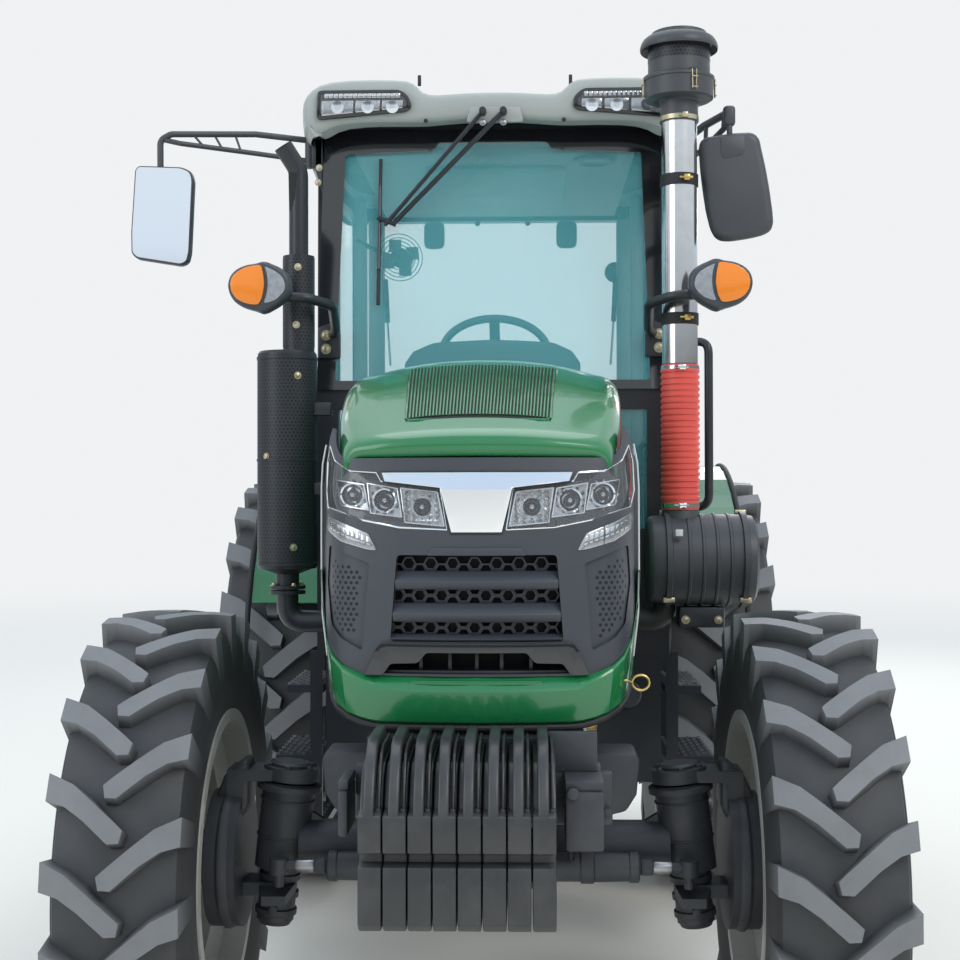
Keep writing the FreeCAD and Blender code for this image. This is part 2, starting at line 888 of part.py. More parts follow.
HOOD_LIP = (  # y, half width share, height of the side, crown height of the lip over the mask
    (-578, 0.78, 3, 1686),
    (-540, 0.82, 14, 1716),
    (-500, 0.85, 24, 1736),
    (-486, 0.85, 24, 1736),
)


def hood():
    half = S.hood_half_width
    skin = S.hood_skin
    low = S.hood_bottom
    outer, inner = [], []
    for y, share, side_high, crown, corner in HOOD_SECTIONS:
        outer.append(hood_section(y, half * share, low, side_high, crown, corner))
        inner.append(hood_section(y, half * share - skin, low - 1, side_high - skin, crown - skin, corner))
    inner[0] = [(x, y - 1, z) for x, y, z in inner[0]]
    inner[-1] = [(x, y + 1, z) for x, y, z in inner[-1]]
    shell = loft(outer).cut(loft(inner))
    rows = []
    for y, share, rise, crown in HOOD_LIP:
        foot = S.hood_lip_height + S.gap
        rows.append(hood_section(y, half * share, foot, foot + rise, crown, 50))
    node("hood_shell", feature("hood_shell", shell.fuse(loft(rows)).removeSplitter()))


NOSE_PLAN = (  # share of the half width, how far it stands back from the foremost line
    (0.95, 95),
    (0.86, 55),
    (0.62, 22),
    (0.30, 6),
)

NOSE_SECTIONS = (  # height above the apron's seam, half width share, set back
    (0, 0.72, 12),
    (95, 0.94, 2),
    (300, 1.0, 0),
    (470, 1.0, 22),
)


def nose_outline(height, half, back):
    """Plan of the nose at a height, from the seam behind the mask round the front."""
    front = S.hood_front + back
    seam = Size.of(HOOD_SECTIONS[0][0]) - S.gap
    right = [(half, seam, height)]
    for share, behind in NOSE_PLAN:
        y = min(float(front + behind), float(seam) - 4)
        right.append((half * share, y, height))
    return [(-1 * x, y, z) for x, y, z in right] + right[::-1]


def opening(name, outline, depth):
    """A pocket sunk into the nose, from an outline seen from the front."""
    return pad(name, "XZ_Plane", outline, -1 * (S.hood_front + depth), depth + 60)


def both(outline):
    return outline, [(-1 * x, z) for x, z in outline]


LAMP_OUTLINE = (  # headlamp cluster of the left side, as (across, height below the lip)
    (84, 160), (98, 76), (205, 54), (232, 38), (292, 30), (304, 60), (304, 118), (200, 152),
)
VENT_OUTLINE = (  # side vent, as (across, height above the seam)
    (232, 245), (296, 268), (296, 120), (250, 75),
)
SHIELD_OUTLINE = (  # bright bar under the lip with its blank shield, as (across, height below the lip)
    (205, 40), (200, 58), (80, 73), (56, 170),
)


def nose():
    """The mask with its openings and slats, the apron, the lamps and the bright bar."""
    half = S.hood_half_width * 0.9
    lip, seam_z = S.hood_lip_height, S.nose_bottom + 105
    mask = loft([nose_outline(seam_z + rise, half * share, back) for rise, share, back in NOSE_SECTIONS])
    lip_row = nose_outline(lip, half * 0.9, 40)
    top_row = nose_outline(seam_z + NOSE_SECTIONS[-1][0], half * NOSE_SECTIONS[-1][1], NOSE_SECTIONS[-1][2])
    solid = feature("mask_solid", mask.fuse(loft([top_row, lip_row])).removeSplitter())
    g, depth = S.grille_half_width, S.grille_depth
    grille = [
        (-g, S.grille_top),
        (g, S.grille_top),
        (g + 12, S.grille_bottom),
        (-g - 12, S.grille_bottom),
    ]
    tools = [opening("grille_opening", grille, depth)]
    lower = [(-120, seam_z + 73), (120, seam_z + 73), (200, seam_z + 22), (-200, seam_z + 22)]
    tools.append(opening("lower_opening", lower, depth))
    for k, outline in enumerate(both([(x, seam_z + h) for x, h in VENT_OUTLINE])):
        tools.append(opening(f"vent_{k}", outline, 85))
    lamp_outline = [(Size.of(x), lip - drop) for x, drop in LAMP_OUTLINE]
    for k, outline in enumerate(both(lamp_outline)):
        tools.append(opening(f"lamp_pocket_{k}", outline, S.lamp_depth))
    slats = []
    for k in range(2):
        z = S.grille_top - 35 - S.slat_pitch * k
        slats.append(box(f"slat_{k}", (-g - 12, S.hood_front + 20, z - S.slat_height),
            (g + 12, S.hood_front + depth + 1, z)))
    node("nose_mask", fuse("nose_mask", cut("mask_cut", solid, *tools), *slats))
    apron = loft(
        [
            nose_outline(S.nose_bottom, half * 0.93, 12),
            nose_outline(S.nose_bottom + 20, half * 0.97, -8),
            nose_outline(seam_z - 22, half, -12),
            nose_outline(seam_z - 0.3, half, 6),
        ]
    )
    node("nose_apron", feature("nose_apron", apron))
    lamps = []
    for k, outline in enumerate(both(lamp_inset(lamp_outline))):
        block = pad(f"lamp_block_{k}", "XZ_Plane", outline, -1 * (S.hood_front + S.lamp_depth - S.gap),
            S.lamp_depth)
        lamps.append(common(f"headlamp_{k}", solid, block))
    node("headlamps", together("headlamps", *lamps))
    right = [(Size.of(x), lip - drop) for x, drop in SHIELD_OUTLINE]
    shield = [(-1 * x, z) for x, z in right] + right[::-1]
    node("nose_trim", pad("nose_trim", "XZ_Plane", shield, -1 * (S.hood_front - S.gap), 10))


def lamp_inset(outline):
    """The lamp's body, one gap inside its pocket."""
    return inset([(float(x), float(z)) for x, z in outline], float(S.gap))


# Exhaust and intake


def stacks():
    x, y = S.exhaust_x, STACK_Y
    r, low, top = S.muffler_radius, S.muffler_bottom, S.muffler_top
    can = turned(
        "muffler_can",
        [
            (low, 0),
            (low, r * 0.45),
            (low + 14, r * 0.92),
            (low + 24, r),
            (top - 20, r),
            (top - 6, r * 0.94),
            (top, r * 0.62),
            (top, 0),
        ],
        (x, y, 0),
        "z",
    )
    out_x = x + S.exhaust_offset
    shroud_height = S.exhaust_shroud_top - S.muffler_top + 10
    shroud = rod("exhaust_shroud", S.exhaust_shroud_radius, shroud_height, (out_x, y, S.muffler_top - 10))
    node("muffler", fuse("muffler", can, shroud))
    tip = pipe(
        [
            (out_x, y, S.exhaust_shroud_top + S.gap),
            (out_x, y, S.exhaust_top),
            (out_x - 40, y - 24, S.exhaust_top + 75),
        ],
        S.exhaust_pipe_radius,
        60,
    )
    feed = pipe(
        [
            (x, y, S.muffler_bottom - S.gap),
            (x, y, S.muffler_bottom - 150),
            (-S.engine_width / 2 - S.gap, y, S.muffler_bottom - 150),
        ],
        38,
        80,
    )
    node("exhaust_pipe", feature("exhaust_pipe", Part.makeCompound([tip, feed])))
    ix = S.intake_x
    node(
        "intake_pipe",
        rod(
            "intake_pipe",
            S.intake_pipe_radius,
            S.intake_pipe_top - S.intake_hose_top - S.gap,
            (ix, y, S.intake_hose_top + S.gap),
        ),
    )
    node(
        "intake_hose",
        rod("intake_hose", S.intake_hose_radius, S.intake_hose_top - S.intake_hose_bottom,
            (ix, y, S.intake_hose_bottom)),
    )
    base = S.intake_pipe_top + S.gap
    r = S.pre_cleaner_radius
    node(
        "pre_cleaner",
        turned(
            "pre_cleaner",
            [
                (base, 0),
                (base, S.intake_pipe_radius + 6),
                (base + 36, S.intake_pipe_radius + 6),
                (base + 40, r * 0.83),
                (base + 78, r * 0.89),
                (base + 88, r * 0.92),
                (base + 92, r * 0.81),
                (base + 162, r * 0.80),
                (base + 146, r),
                (base + 160, r),
                (base + 198, r * 0.86),
                (base + 218, r * 0.66),
                (S.pre_cleaner_top, r * 0.48),
                (S.pre_cleaner_top, 0),
            ],
            (ix, y, 0),
            "z",
        ),
    )
    z = S.air_cleaner_height
    r, a, b = S.air_cleaner_radius, S.air_cleaner_inner, S.air_cleaner_outer
    canister = turned(
        "air_canister",
        [
            (a, 0),
            (a, r * 0.80),
            (a + 14, r * 0.92),
            (a + 48, r * 0.92),
            (a + 52, r),
            (a + 68, r),
            (a + 72, r * 0.945),
            (b - 54, r * 0.945),
            (b - 50, r),
            (b - 34, r),
            (b - 30, r * 0.92),
            (b - 14, r * 0.90),
            (b, r * 0.78),
            (b, 0),
        ],
        (0, y, z),
    )
    inlet = rod("air_inlet", S.intake_pipe_radius, S.intake_hose_bottom - S.gap - z, (ix, y, z))
    low = z - S.air_cleaner_radius - 36
    outlet = feature(
        "air_outlet",
        pipe([(540, y, z - 100), (540, y, low), (S.engine_width / 2 + S.gap, y, low)], 32, 40),
    )
    node("air_cleaner", fuse("air_cleaner", canister, inlet, outlet))



# Cab


def frame_bars():
    """The cab's posts and header, one side, as outlines seen from above or from the side."""
    t, front, top = S.post_size, CAB_FRONT, CAB_FRONT_TOP
    half, mid, back = S.cab_front_half_width, S.cab_middle_half_width, S.cab_rear_half_width
    z0, z1, z2 = S.cab_floor_height, S.cab_scuttle_height, S.cab_header_height
    waist, header = CAB_WAIST, S.header_depth
    hinge = DOOR_REAR + S.door_swing_gap
    arch_front = S.wheelbase - S.arch_front_reach + S.door_swing_gap
    post = pad(
        "front_post",
        "YZ_Plane",
        [(front, z0), (front, z1), (top, z2), (top + t, z2), (front + t, z1), (front + t, z0)],
        half - t,
        t,
    )
    door_post = pad(
        "door_post",
        "XY_Plane",
        [(mid - t, hinge), (mid, hinge), (mid, hinge + t), (mid - t, hinge + t)],
        waist,
        z2 - waist,
    )
    rear_post = pad(
        "rear_post",
        "XY_Plane",
        [(back - t, CAB_REAR - t), (back, CAB_REAR - t), (back, CAB_REAR), (back - t, CAB_REAR)],
        waist,
        z2 - waist,
    )
    side_rail = pad(
        "side_rail",
        "XY_Plane",
        [
            (half - t, top + 5),
            (half, top + 5),
            (mid, hinge),
            (mid, hinge + t),
            (back, CAB_REAR),
            (back - t, CAB_REAR),
            (mid - t, hinge + t),
            (mid - t, hinge),
        ],
        z2 - header,
        header,
    )
    shelf = pad(
        "waist_shelf",
        "XY_Plane",
        [
            (S.cab_waist_half_width - 36, hinge),
            (mid, hinge),
            (mid, hinge + t),
            (back, CAB_REAR),
            (S.cab_waist_half_width - 36, CAB_REAR),
        ],
        waist,
        30,
    )
    wall = pad(
        "side_wall",
        "YZ_Plane",
        [
            (arch_front, z0),
            (arch_front, DOOR_SILL),
            (S.wheelbase - S.arch_middle_reach + S.door_swing_gap, waist - S.arch_middle_drop),
            (S.wheelbase - S.arch_rear_reach + S.door_swing_gap, waist),
            (S.wheelbase - S.arch_rear_reach + S.door_swing_gap, waist + 30),
            (CAB_REAR, waist + 30),
            (CAB_REAR, z0),
        ],
        S.cab_waist_half_width - 36,
        36,
    )
    sill = pad(
        "door_sill",
        "XY_Plane",
        [
            (half - t, front),
            (half, front),
            (half + 62, arch_front),
            (S.cab_waist_half_width - 36, arch_front + 52),
            (half - t, arch_front + 52),
        ],
        z0,
        S.cab_floor_thickness,
    )
    hinges = []
    for k, z in enumerate((waist + 115, z2 - 220)):
        hinges.append(rod(f"door_hinge_barrel_{k}", 7.7, 90, (mid, DOOR_REAR, z)))
        hinges.append(box(f"door_hinge_lug_{k}", (mid - 7, DOOR_REAR, z), (mid, hinge + 5, z + 90)))
    return [post, door_post, rear_post, side_rail, shelf, wall, sill, *hinges]


def cab():
    t, half, top = S.post_size, S.cab_front_half_width, CAB_FRONT_TOP
    z0, z1, z2 = S.cab_floor_height, S.cab_scuttle_height, S.cab_header_height
    left = fuse("cab_side_left", *frame_bars())
    right = mirrored("cab_side_right", left)
    front_header = box("front_header", (-half + t, top, z2 - S.header_depth), (half - t, top + t, z2))
    back = S.cab_rear_half_width - t
    rear_header = box("rear_header", (-back, CAB_REAR - t, z2 - S.header_depth), (back, CAB_REAR, z2))
    plate = box("firewall_plate", (-half + t, CAB_FRONT, z0), (half - t, CAB_FRONT + 30, z1))
    wide, high = S.footwell_window_width, S.footwell_window_height
    sill = z1 - S.footwell_window_drop - high
    places = (half - t - 10 - wide, -half + t + 10)
    openings = []
    for k, x in enumerate(places):
        openings.append(box(f"footwell_opening_{k}", (x, CAB_FRONT - 1, sill),
            (x + wide, CAB_FRONT + 31, sill + high)))
    firewall = cut("firewall", plate, *openings)
    rear_wall = box("rear_wall", (-back, CAB_REAR - 40, z0), (back, CAB_REAR, CAB_WAIST + 30))
    hinge_y = HOOD_REAR - 5
    hinge_z = S.cab_scuttle_height + 5
    lugs = []
    for k, x in enumerate((-125, 85)):
        lugs.append(box(f"hood_hinge_lug_{k}", (x, hinge_y - 22, z1 - 60), (x + 40, CAB_FRONT + 5, z1 - 0.5)))
        lugs.append(rod(f"hood_hinge_pin_{k}", S.hood_hinge_radius, 40, (x, hinge_y, hinge_z), "x"))
    bars = [left, right, front_header, rear_header, firewall, rear_wall, *lugs]
    node("cab_frame", fuse("cab_frame", *bars))
    inner = S.cab_waist_half_width - 36 - S.gap
    node(
        "cab_floor",
        box(
            "cab_floor",
            (-half + t + S.gap, CAB_FRONT + 30 + S.gap, z0),
            (half - t - S.gap, CAB_REAR - 40 - S.gap, z0 + S.cab_floor_thickness),
        ),
    )
    front = CAB_FRONT
    g, glass = S.gap, S.glass_thickness
    slope = (CAB_FRONT_TOP - CAB_FRONT) / (z2 - z1)
    low, high = z1 + g, z2 - S.header_depth - g
    windscreen = pad(
        "windscreen",
        "YZ_Plane",
        [
            (front + 4, low),
            (front + 4 + slope * (high - low), high),
            (front + 4 + glass + slope * (high - low), high),
            (front + 4 + glass, low),
        ],
        -half + t + g,
        (half - t - g) * 2,
    )
    hinge = DOOR_REAR + S.door_swing_gap
    mid, rear = S.cab_middle_half_width, S.cab_rear_half_width
    quarter = pad(
        "quarter_glass_left",
        "XY_Plane",
        [
            (mid - 20, hinge + t + g),
            (rear - 20, CAB_REAR - t - g),
            (rear - 20 - glass, CAB_REAR - t - g),
            (mid - 20 - glass, hinge + t + g),
        ],
        CAB_WAIST + 30 + g,
        high - CAB_WAIST - 30 - g,
    )
    pane = box(
        "rear_pane",
        (-back + g, CAB_REAR - 30, CAB_WAIST + 30 + g),
        (back - g, CAB_REAR - 30 + glass, high),
    )
    panes = [windscreen, quarter, mirrored("quarter_glass_right", quarter), pane]
    for k, x in enumerate(places):
        start, stop = CAB_FRONT + 12, CAB_FRONT + 12 + glass
        panes.append(box(f"footwell_pane_{k}", (x + g, start, sill + g),
            (x + wide - g, stop, sill + S.footwell_window_height - g)))
    node("fixed_glass", together("fixed_glass", *panes))
    roof()


ROOF_SECTIONS = (  # share of the length, half width's share from front to rear, drop of the top, share of the dip
    (0.0, 0.0, 62, 0.75),
    (0.03, 0.12, 16, 1.0),
    (0.13, 0.40, 0, 0.95),
    (0.57, 1.0, 2, 0.45),
    (0.94, 0.96, 18, 0.30),
    (1.0, 0.60, 45, 0.0),
)


def roof_section(y, half, top, dip):
    """The roof across the tractor: two shoulders, a dip between them, and a skirt down each side."""
    low = S.cab_header_height + S.gap
    right = [
        (half - 26, y, low),
        (half - 24, y, low - S.roof_skirt),
        (half - 6, y, low - S.roof_skirt),
        (half, y, low + 20),
        (half - 4, y, top - 50),
        (half - 46, y, top - 8),
        (half - 140, y, top),
        (half * 0.47, y, top),
        (half * 0.39, y, top - dip),
    ]
    return [(-1 * x, y, z) for x, y, z in right] + right[::-1]


def roof():
    length = ROOF_REAR - ROOF_FRONT
    flare = S.roof_rear_half_width - S.roof_front_half_width
    rows = []
    for along, spread, drop, dip in ROOF_SECTIONS:
        half = S.roof_front_half_width + flare * spread
        rows.append(roof_section(ROOF_FRONT + length * along, half, S.roof_top - drop, S.roof_dip * dip))
    node("cab_roof", feature("cab_roof", loft(rows)))


def door_outline():
    """The door's edge in its own plane, as (distance ahead of the hinge line, height)."""
    turn = math.cos(math.radians(float(S.door_slant)))
    lean = float(S.cab_lean / (S.cab_header_height - S.cab_scuttle_height))
    low, high = float(DOOR_SILL), float(S.cab_header_height - S.door_head_gap)
    scuttle, foot = float(S.cab_scuttle_height), float(CAB_WAIST) + 35
    front = float(DOOR_REAR - CAB_FRONT - S.post_size - S.door_edge_gap)
    reaches = (S.arch_rear_reach, S.arch_middle_reach, S.arch_front_reach)
    ahead = [float(DOOR_REAR - S.wheelbase + reach) for reach in reaches]
    return [
        (8, foot),
        (8, high),
        ((front - lean * (high - scuttle)) / turn, high),
        (front / turn, scuttle),
        (front / turn, low),
        (ahead[2] / turn, low),
        (ahead[1] / turn, float(CAB_WAIST - S.arch_middle_drop)),
        (ahead[0] / turn, foot),
    ]


def inset(outline, by):
    """The outline drawn in by one distance all round."""
    count = len(outline)
    corners = [FreeCAD.Vector(u, v, 0) for u, v in outline]
    area = sum(a.x * b.y - b.x * a.y for a, b in zip(corners, corners[1:] + corners[:1]))
    hand = 1 if area > 0 else -1
    lines = []
    for a, b in zip(corners, corners[1:] + corners[:1]):
        along = (b - a).normalize()
        lines.append((a + FreeCAD.Vector(-along.y, along.x, 0) * hand * by, along))
    out = []
    for k in range(count):
        (p, d), (q, e) = lines[k - 1], lines[k]
        t = ((q.x - p.x) * e.y - (q.y - p.y) * e.x) / (d.x * e.y - d.y * e.x)
        out.append((p.x + d.x * t, p.y + d.y * t))
    return out


def door_piece(name, outline, inward, depth):
    """A flat piece of the left door: an outline in the door's own plane, turned onto the cab's side."""
    body = pad(name, "YZ_Plane", [(-u, z) for u, z in outline], -Size.of(inward) - Size.of(depth), depth)
    return put(body, (S.cab_middle_half_width, DOOR_REAR, 0), ((0, 0, 1), -S.door_slant))


def doors():
    thick = S.door_thickness
    outline = door_outline()
    border = float(S.door_border)
    plate = door_piece("door_plate", outline, 0, thick)
    hole = door_piece("door_hole", inset(outline, border), -5, thick + 10)
    left = cut("door_left", plate, hole)
    node("door_left", left)
    node("door_right", mirrored("door_right", left))
    pane = door_piece("door_glass_left", inset(outline, border + float(S.gap)), 14, S.glass_thickness)
    node("door_glass_left", pane)
    node("door_glass_right", mirrored("door_glass_right", pane))


def arc_points(y, z, radius, start, stop, count):
    """Points along an arc in the tractor's side plane, angles in degrees from the rear, up positive."""
    step = (stop - start) / count
    return [
        (
            y + radius * math.cos(math.radians(start + step * k)),
            z + radius * math.sin(math.radians(start + step * k)),
        )
        for k in range(count + 1)
    ]


def fenders():
    y, z = float(S.wheelbase), float(S.rear_tyre_radius)
    inner = float(S.rear_tyre_radius + S.fender_gap)
    outer = inner + float(S.fender_skin)
    start, stop = float(S.fender_rear_angle), float(S.fender_front_angle)
    arch = arc_points(y, z, outer, start, stop, 20)
    under = arc_points(y, z, inner, start, stop, 20)
    width = float(S.fender_outer - S.fender_inner)
    skin_face = Part.Face(wire([(S.fender_inner, a, b) for a, b in arch + under[::-1]]))
    skin = skin_face.extrude(vec(width, 0, 0))
    side_face = Part.Face(wire([(S.fender_inner, a, b) for a, b in arch]))
    side = side_face.extrude(vec(S.fender_skin, 0, 0))
    left = feature("fender_left", skin.fuse(side).removeSplitter())
    node("rear_fenders", together("rear_fenders", left, mirrored("fender_right", left)))


def side_equipment():
    tank = box(
        "fuel_tank",
        (S.tank_inner, TANK_FRONT, S.tank_bottom),
        (S.tank_outer, (TANK_FRONT + S.tank_length), S.tank_top),
    )
    case = box(
        "battery_case",
        (-S.tank_outer, TANK_FRONT, S.tank_bottom + 60),
        (-S.tank_inner, (TANK_FRONT + S.tank_length) - 120, S.tank_top),
    )
    node("side_tanks", together("side_tanks", tank, case))
    steps = []
    for k in range(3):
        z = S.step_bottom + 235 * k
        steps.append(box(f"tread_{k}", (S.tank_outer + 20, STEP_FRONT, z),
            (S.step_outer - 40 * k, (STEP_FRONT + S.step_width), z + 25)))
    for k, y in enumerate((STEP_FRONT, (STEP_FRONT + S.step_width) - 10)):
        steps.append(box(f"stringer_{k}", (S.tank_outer + 24, y, S.step_bottom),
            (S.tank_outer + 64, y + 10, S.cab_floor_height - S.gap)))
    left = fuse("steps_left", *steps)
    node("cab_steps", together("cab_steps", left, mirrored("steps_right", left)))


def post_face(z):
    """Where the front post's front face stands at a height above the scuttle."""
    return CAB_FRONT + S.cab_lean * ((z - S.cab_scuttle_height) / (S.cab_header_height - S.cab_scuttle_height))


LAMP_HEIGHT = S.cab_scuttle_height + 282
MIRROR_SHORT_TOP = S.cab_header_height - 135
MIRROR_LONG_TOP = S.cab_header_height - 170


CORNER_LAMP_OUTLINE = (  # from the middle of the left lamp, as (outward, up)
    (-94, 0), (-80, 42), (-46, 68), (-8, 76), (40, 64), (76, 34), (95, -8), (88, -48), (52, -70), (-2, -78),
    (-55, -62), (-87, -34),
)
ROOF_LAMP_OUTLINE = (  # left lamp, as (across, drop from the roof's top)
    (268, 118), (268, 92), (300, 62), (578, 62), (586, 100), (574, 140), (288, 133),
)
MIRROR_LONG_OUTLINE = (  # on its long arm, as (outward from the arm's end, drop from the top)
    (-96, 30), (-62, 0), (55, 0), (95, 30), (100, 165), (84, 300), (58, 325), (-75, 315), (-99, 280),
        (-100, 150),
)
MIRROR_SHORT_OUTLINE = (  # on its short arm, as (outward from the arm's end, drop from the top)
    (-93, 14), (-68, 0), (62, 0), (80, 25), (94, 155), (98, 285), (77, 327), (-23, 329), (-52, 305),
        (-78, 205),
)


def lamps_and_mirrors():
    z = LAMP_HEIGHT
    lamp_shape = [(S.corner_lamp_x + x, z + up) for x, up in CORNER_LAMP_OUTLINE]
    left = pad("corner_lamp_left", "XZ_Plane", lamp_shape, -1 * (CAB_FRONT - 350), 60)
    roof_lamps = []
    low = S.roof_edge - 32
    for k, outline in enumerate(both([(x, S.roof_top - drop) for x, drop in ROOF_LAMP_OUTLINE])):
        roof_lamps.append(pad(f"roof_lamp_{k}", "XZ_Plane", outline, -1 * (ROOF_FRONT - S.gap), 14))
    for k, x in enumerate((-470, 330)):
        roof_lamps.append(
            box(f"rear_roof_lamp_{k}", (x, ROOF_REAR + S.gap, low), (x + 140, ROOF_REAR + 40, low + 72))
        )
    arch = float(S.rear_tyre_radius + S.fender_gap + S.fender_skin)
    rise = 330
    reach = math.sqrt(arch**2 - rise**2) + float(S.gap)
    y_tail, z_tail = S.wheelbase + reach, S.rear_tyre_radius + rise
    tail = box("tail_lamp_left", (700, y_tail, z_tail), (900, y_tail + 60, z_tail + 120))
    node(
        "work_lamps",
        together(
            "work_lamps",
            left,
            mirrored("corner_lamp_right", left),
            tail,
            mirrored("tail_lamp_right", tail),
            *roof_lamps,
        ),
    )
    long_top, short_top = MIRROR_LONG_TOP, MIRROR_SHORT_TOP
    long_shape = [(-S.mirror_long_reach - x, long_top - drop) for x, drop in MIRROR_LONG_OUTLINE]
    right_mirror = pad("mirror_long", "XZ_Plane", long_shape, -1 * (CAB_FRONT + 40), 55)
    short_shape = [(S.mirror_short_reach + x, short_top - drop) for x, drop in MIRROR_SHORT_OUTLINE]
    left_mirror = pad("mirror_short", "XZ_Plane", short_shape, -1 * (CAB_FRONT - 145), 55)
    node("mirrors", together("mirrors", right_mirror, left_mirror))
    half, g = S.cab_front_half_width, S.gap
    middle = S.post_size / 2
    long_root, short_root = long_top + 90, short_top - 5
    long_y, short_y = CAB_FRONT + 12, CAB_FRONT - 173
    rail_top, rail_low = S.cab_scuttle_height + 140, S.cab_scuttle_height - 400
    tubes = [
        pipe(
            [
                (-half - g, post_face(long_root) + middle, long_root),
                (-half - 60, post_face(long_root) + middle, long_root),
                (-S.mirror_long_reach, long_y, long_top + 50),
                (-S.mirror_long_reach, long_y, long_top + g),
            ],
            12,
            30,
        ),
        pipe(
            [
                (half + g, post_face(short_root) + middle, short_root),
                (half + 50, post_face(short_root) + middle, short_root),
                (S.mirror_short_reach, CAB_FRONT, short_top + 55),
                (S.mirror_short_reach, short_y, short_top + 45),
                (S.mirror_short_reach, short_y, short_top + g),
            ],
            12,
            24,
        ),
        pipe(
            [
                (half + g, post_face(rail_top) + middle, rail_top),
                (half + 40, post_face(rail_top) + middle, rail_top),
                (half + 130, CAB_FRONT, rail_top),
                (half + 130, CAB_FRONT, rail_low),
                (half + 60, CAB_FRONT + middle, rail_low),
                (half + g, CAB_FRONT + middle, rail_low),
            ],
            14,
            36,
        ),
    ]
    root = S.cab_scuttle_height + 170
    span = float(S.cab_header_height - S.cab_scuttle_height)
    lean = float(S.cab_lean)
    slope = math.hypot(span, lean)
    for side in (1, -1):
        face = vec(530 * side, post_face(root), root)
        out = vec(0, -span / slope, lean / slope)
        knots = [tuple(face + out * float(g)), tuple(face + out * 45)]
        lamp_x = float(S.corner_lamp_x) - 8
        for x, ahead, rise in ((500, 110, 10), (500, 320, 40), (lamp_x, 320, 102),
            (lamp_x, 350 - float(g), 102)):
            knots.append((x * side, CAB_FRONT - ahead, root + rise))
        tubes.append(pipe(knots, 14, 14))
    node("cab_tubework", feature("cab_tubework", Part.makeCompound(tubes)))


def interior():
    floor = S.cab_floor_height + S.cab_floor_thickness + S.gap
    dash = S.cab_scuttle_height - 140
    console = box("console", (-150, CAB_FRONT + 31, floor), (150, CAB_FRONT + 330, dash))
    arch = [(290, dash), (290, dash + 215), (262, dash + 255), (200, dash + 280)]
    outline = [(-x, z) for x, z in arch] + arch[::-1]
    binnacle = pad("binnacle", "XZ_Plane", outline, -1 * (CAB_FRONT + 280), 230)
    tilt = math.radians(float(S.steering_wheel_tilt))
    r = 30
    column = doc.addObject("Part::Cylinder", "column")
    column.Radius, column.Height = r, 330
    back = vec(0, STEERING_WHEEL_Y, S.steering_wheel_height)
    axis = vec(0, math.sin(tilt), math.cos(tilt))
    column.Placement = FreeCAD.Placement(
        back - axis * 355, FreeCAD.Rotation(FreeCAD.Vector(0, 0, 1), axis)
    )
    node("dash_console", fuse("dash_console", console, binnacle, column))
    ring = doc.addObject("Part::Torus", "wheel_ring")
    ring.Radius1, ring.Radius2 = float(S.steering_wheel_radius) - 14, 14
    spokes = [
        box("wheel_spoke_0", (-S.steering_wheel_radius + 14, -18, -8), (S.steering_wheel_radius - 14, 18, 8)),
        box("wheel_spoke_1", (-18, -S.steering_wheel_radius + 14, -8), (18, 0, 8)),
        rod("wheel_boss", 45, 44, (0, 0, -24)),
    ]
    wheel = fuse("steering_wheel", ring, *spokes)
    wheel.Placement = FreeCAD.Placement(back, FreeCAD.Rotation(FreeCAD.Vector(0, 0, 1), axis))
    node("steering_wheel", wheel)
    y, pan = S.wheelbase - 600, S.cab_floor_height + 420
    base = box("seat_base", (-170, y + 80, floor), (170, y + 400, pan))
    cushion_side = [(y, pan), (y + 470, pan), (y + 470, pan + 105), (y + 60, pan + 125), (y, pan + 95)]
    cushion = pad("seat_cushion", "YZ_Plane", cushion_side, -240, 480)
    rest_side = [
        (y + 440, pan + 40),
        (y + 560, pan + 40),
        (y + 620, pan + 660),
        (y + 590, pan + 700),
        (y + 540, pan + 690),
        (y + 430, pan + 105),
    ]
    rest = pad("seat_back", "YZ_Plane", rest_side, -220, 440)
    node("seat", fuse("seat", base, cushion, rest))


# Transmission, hitch


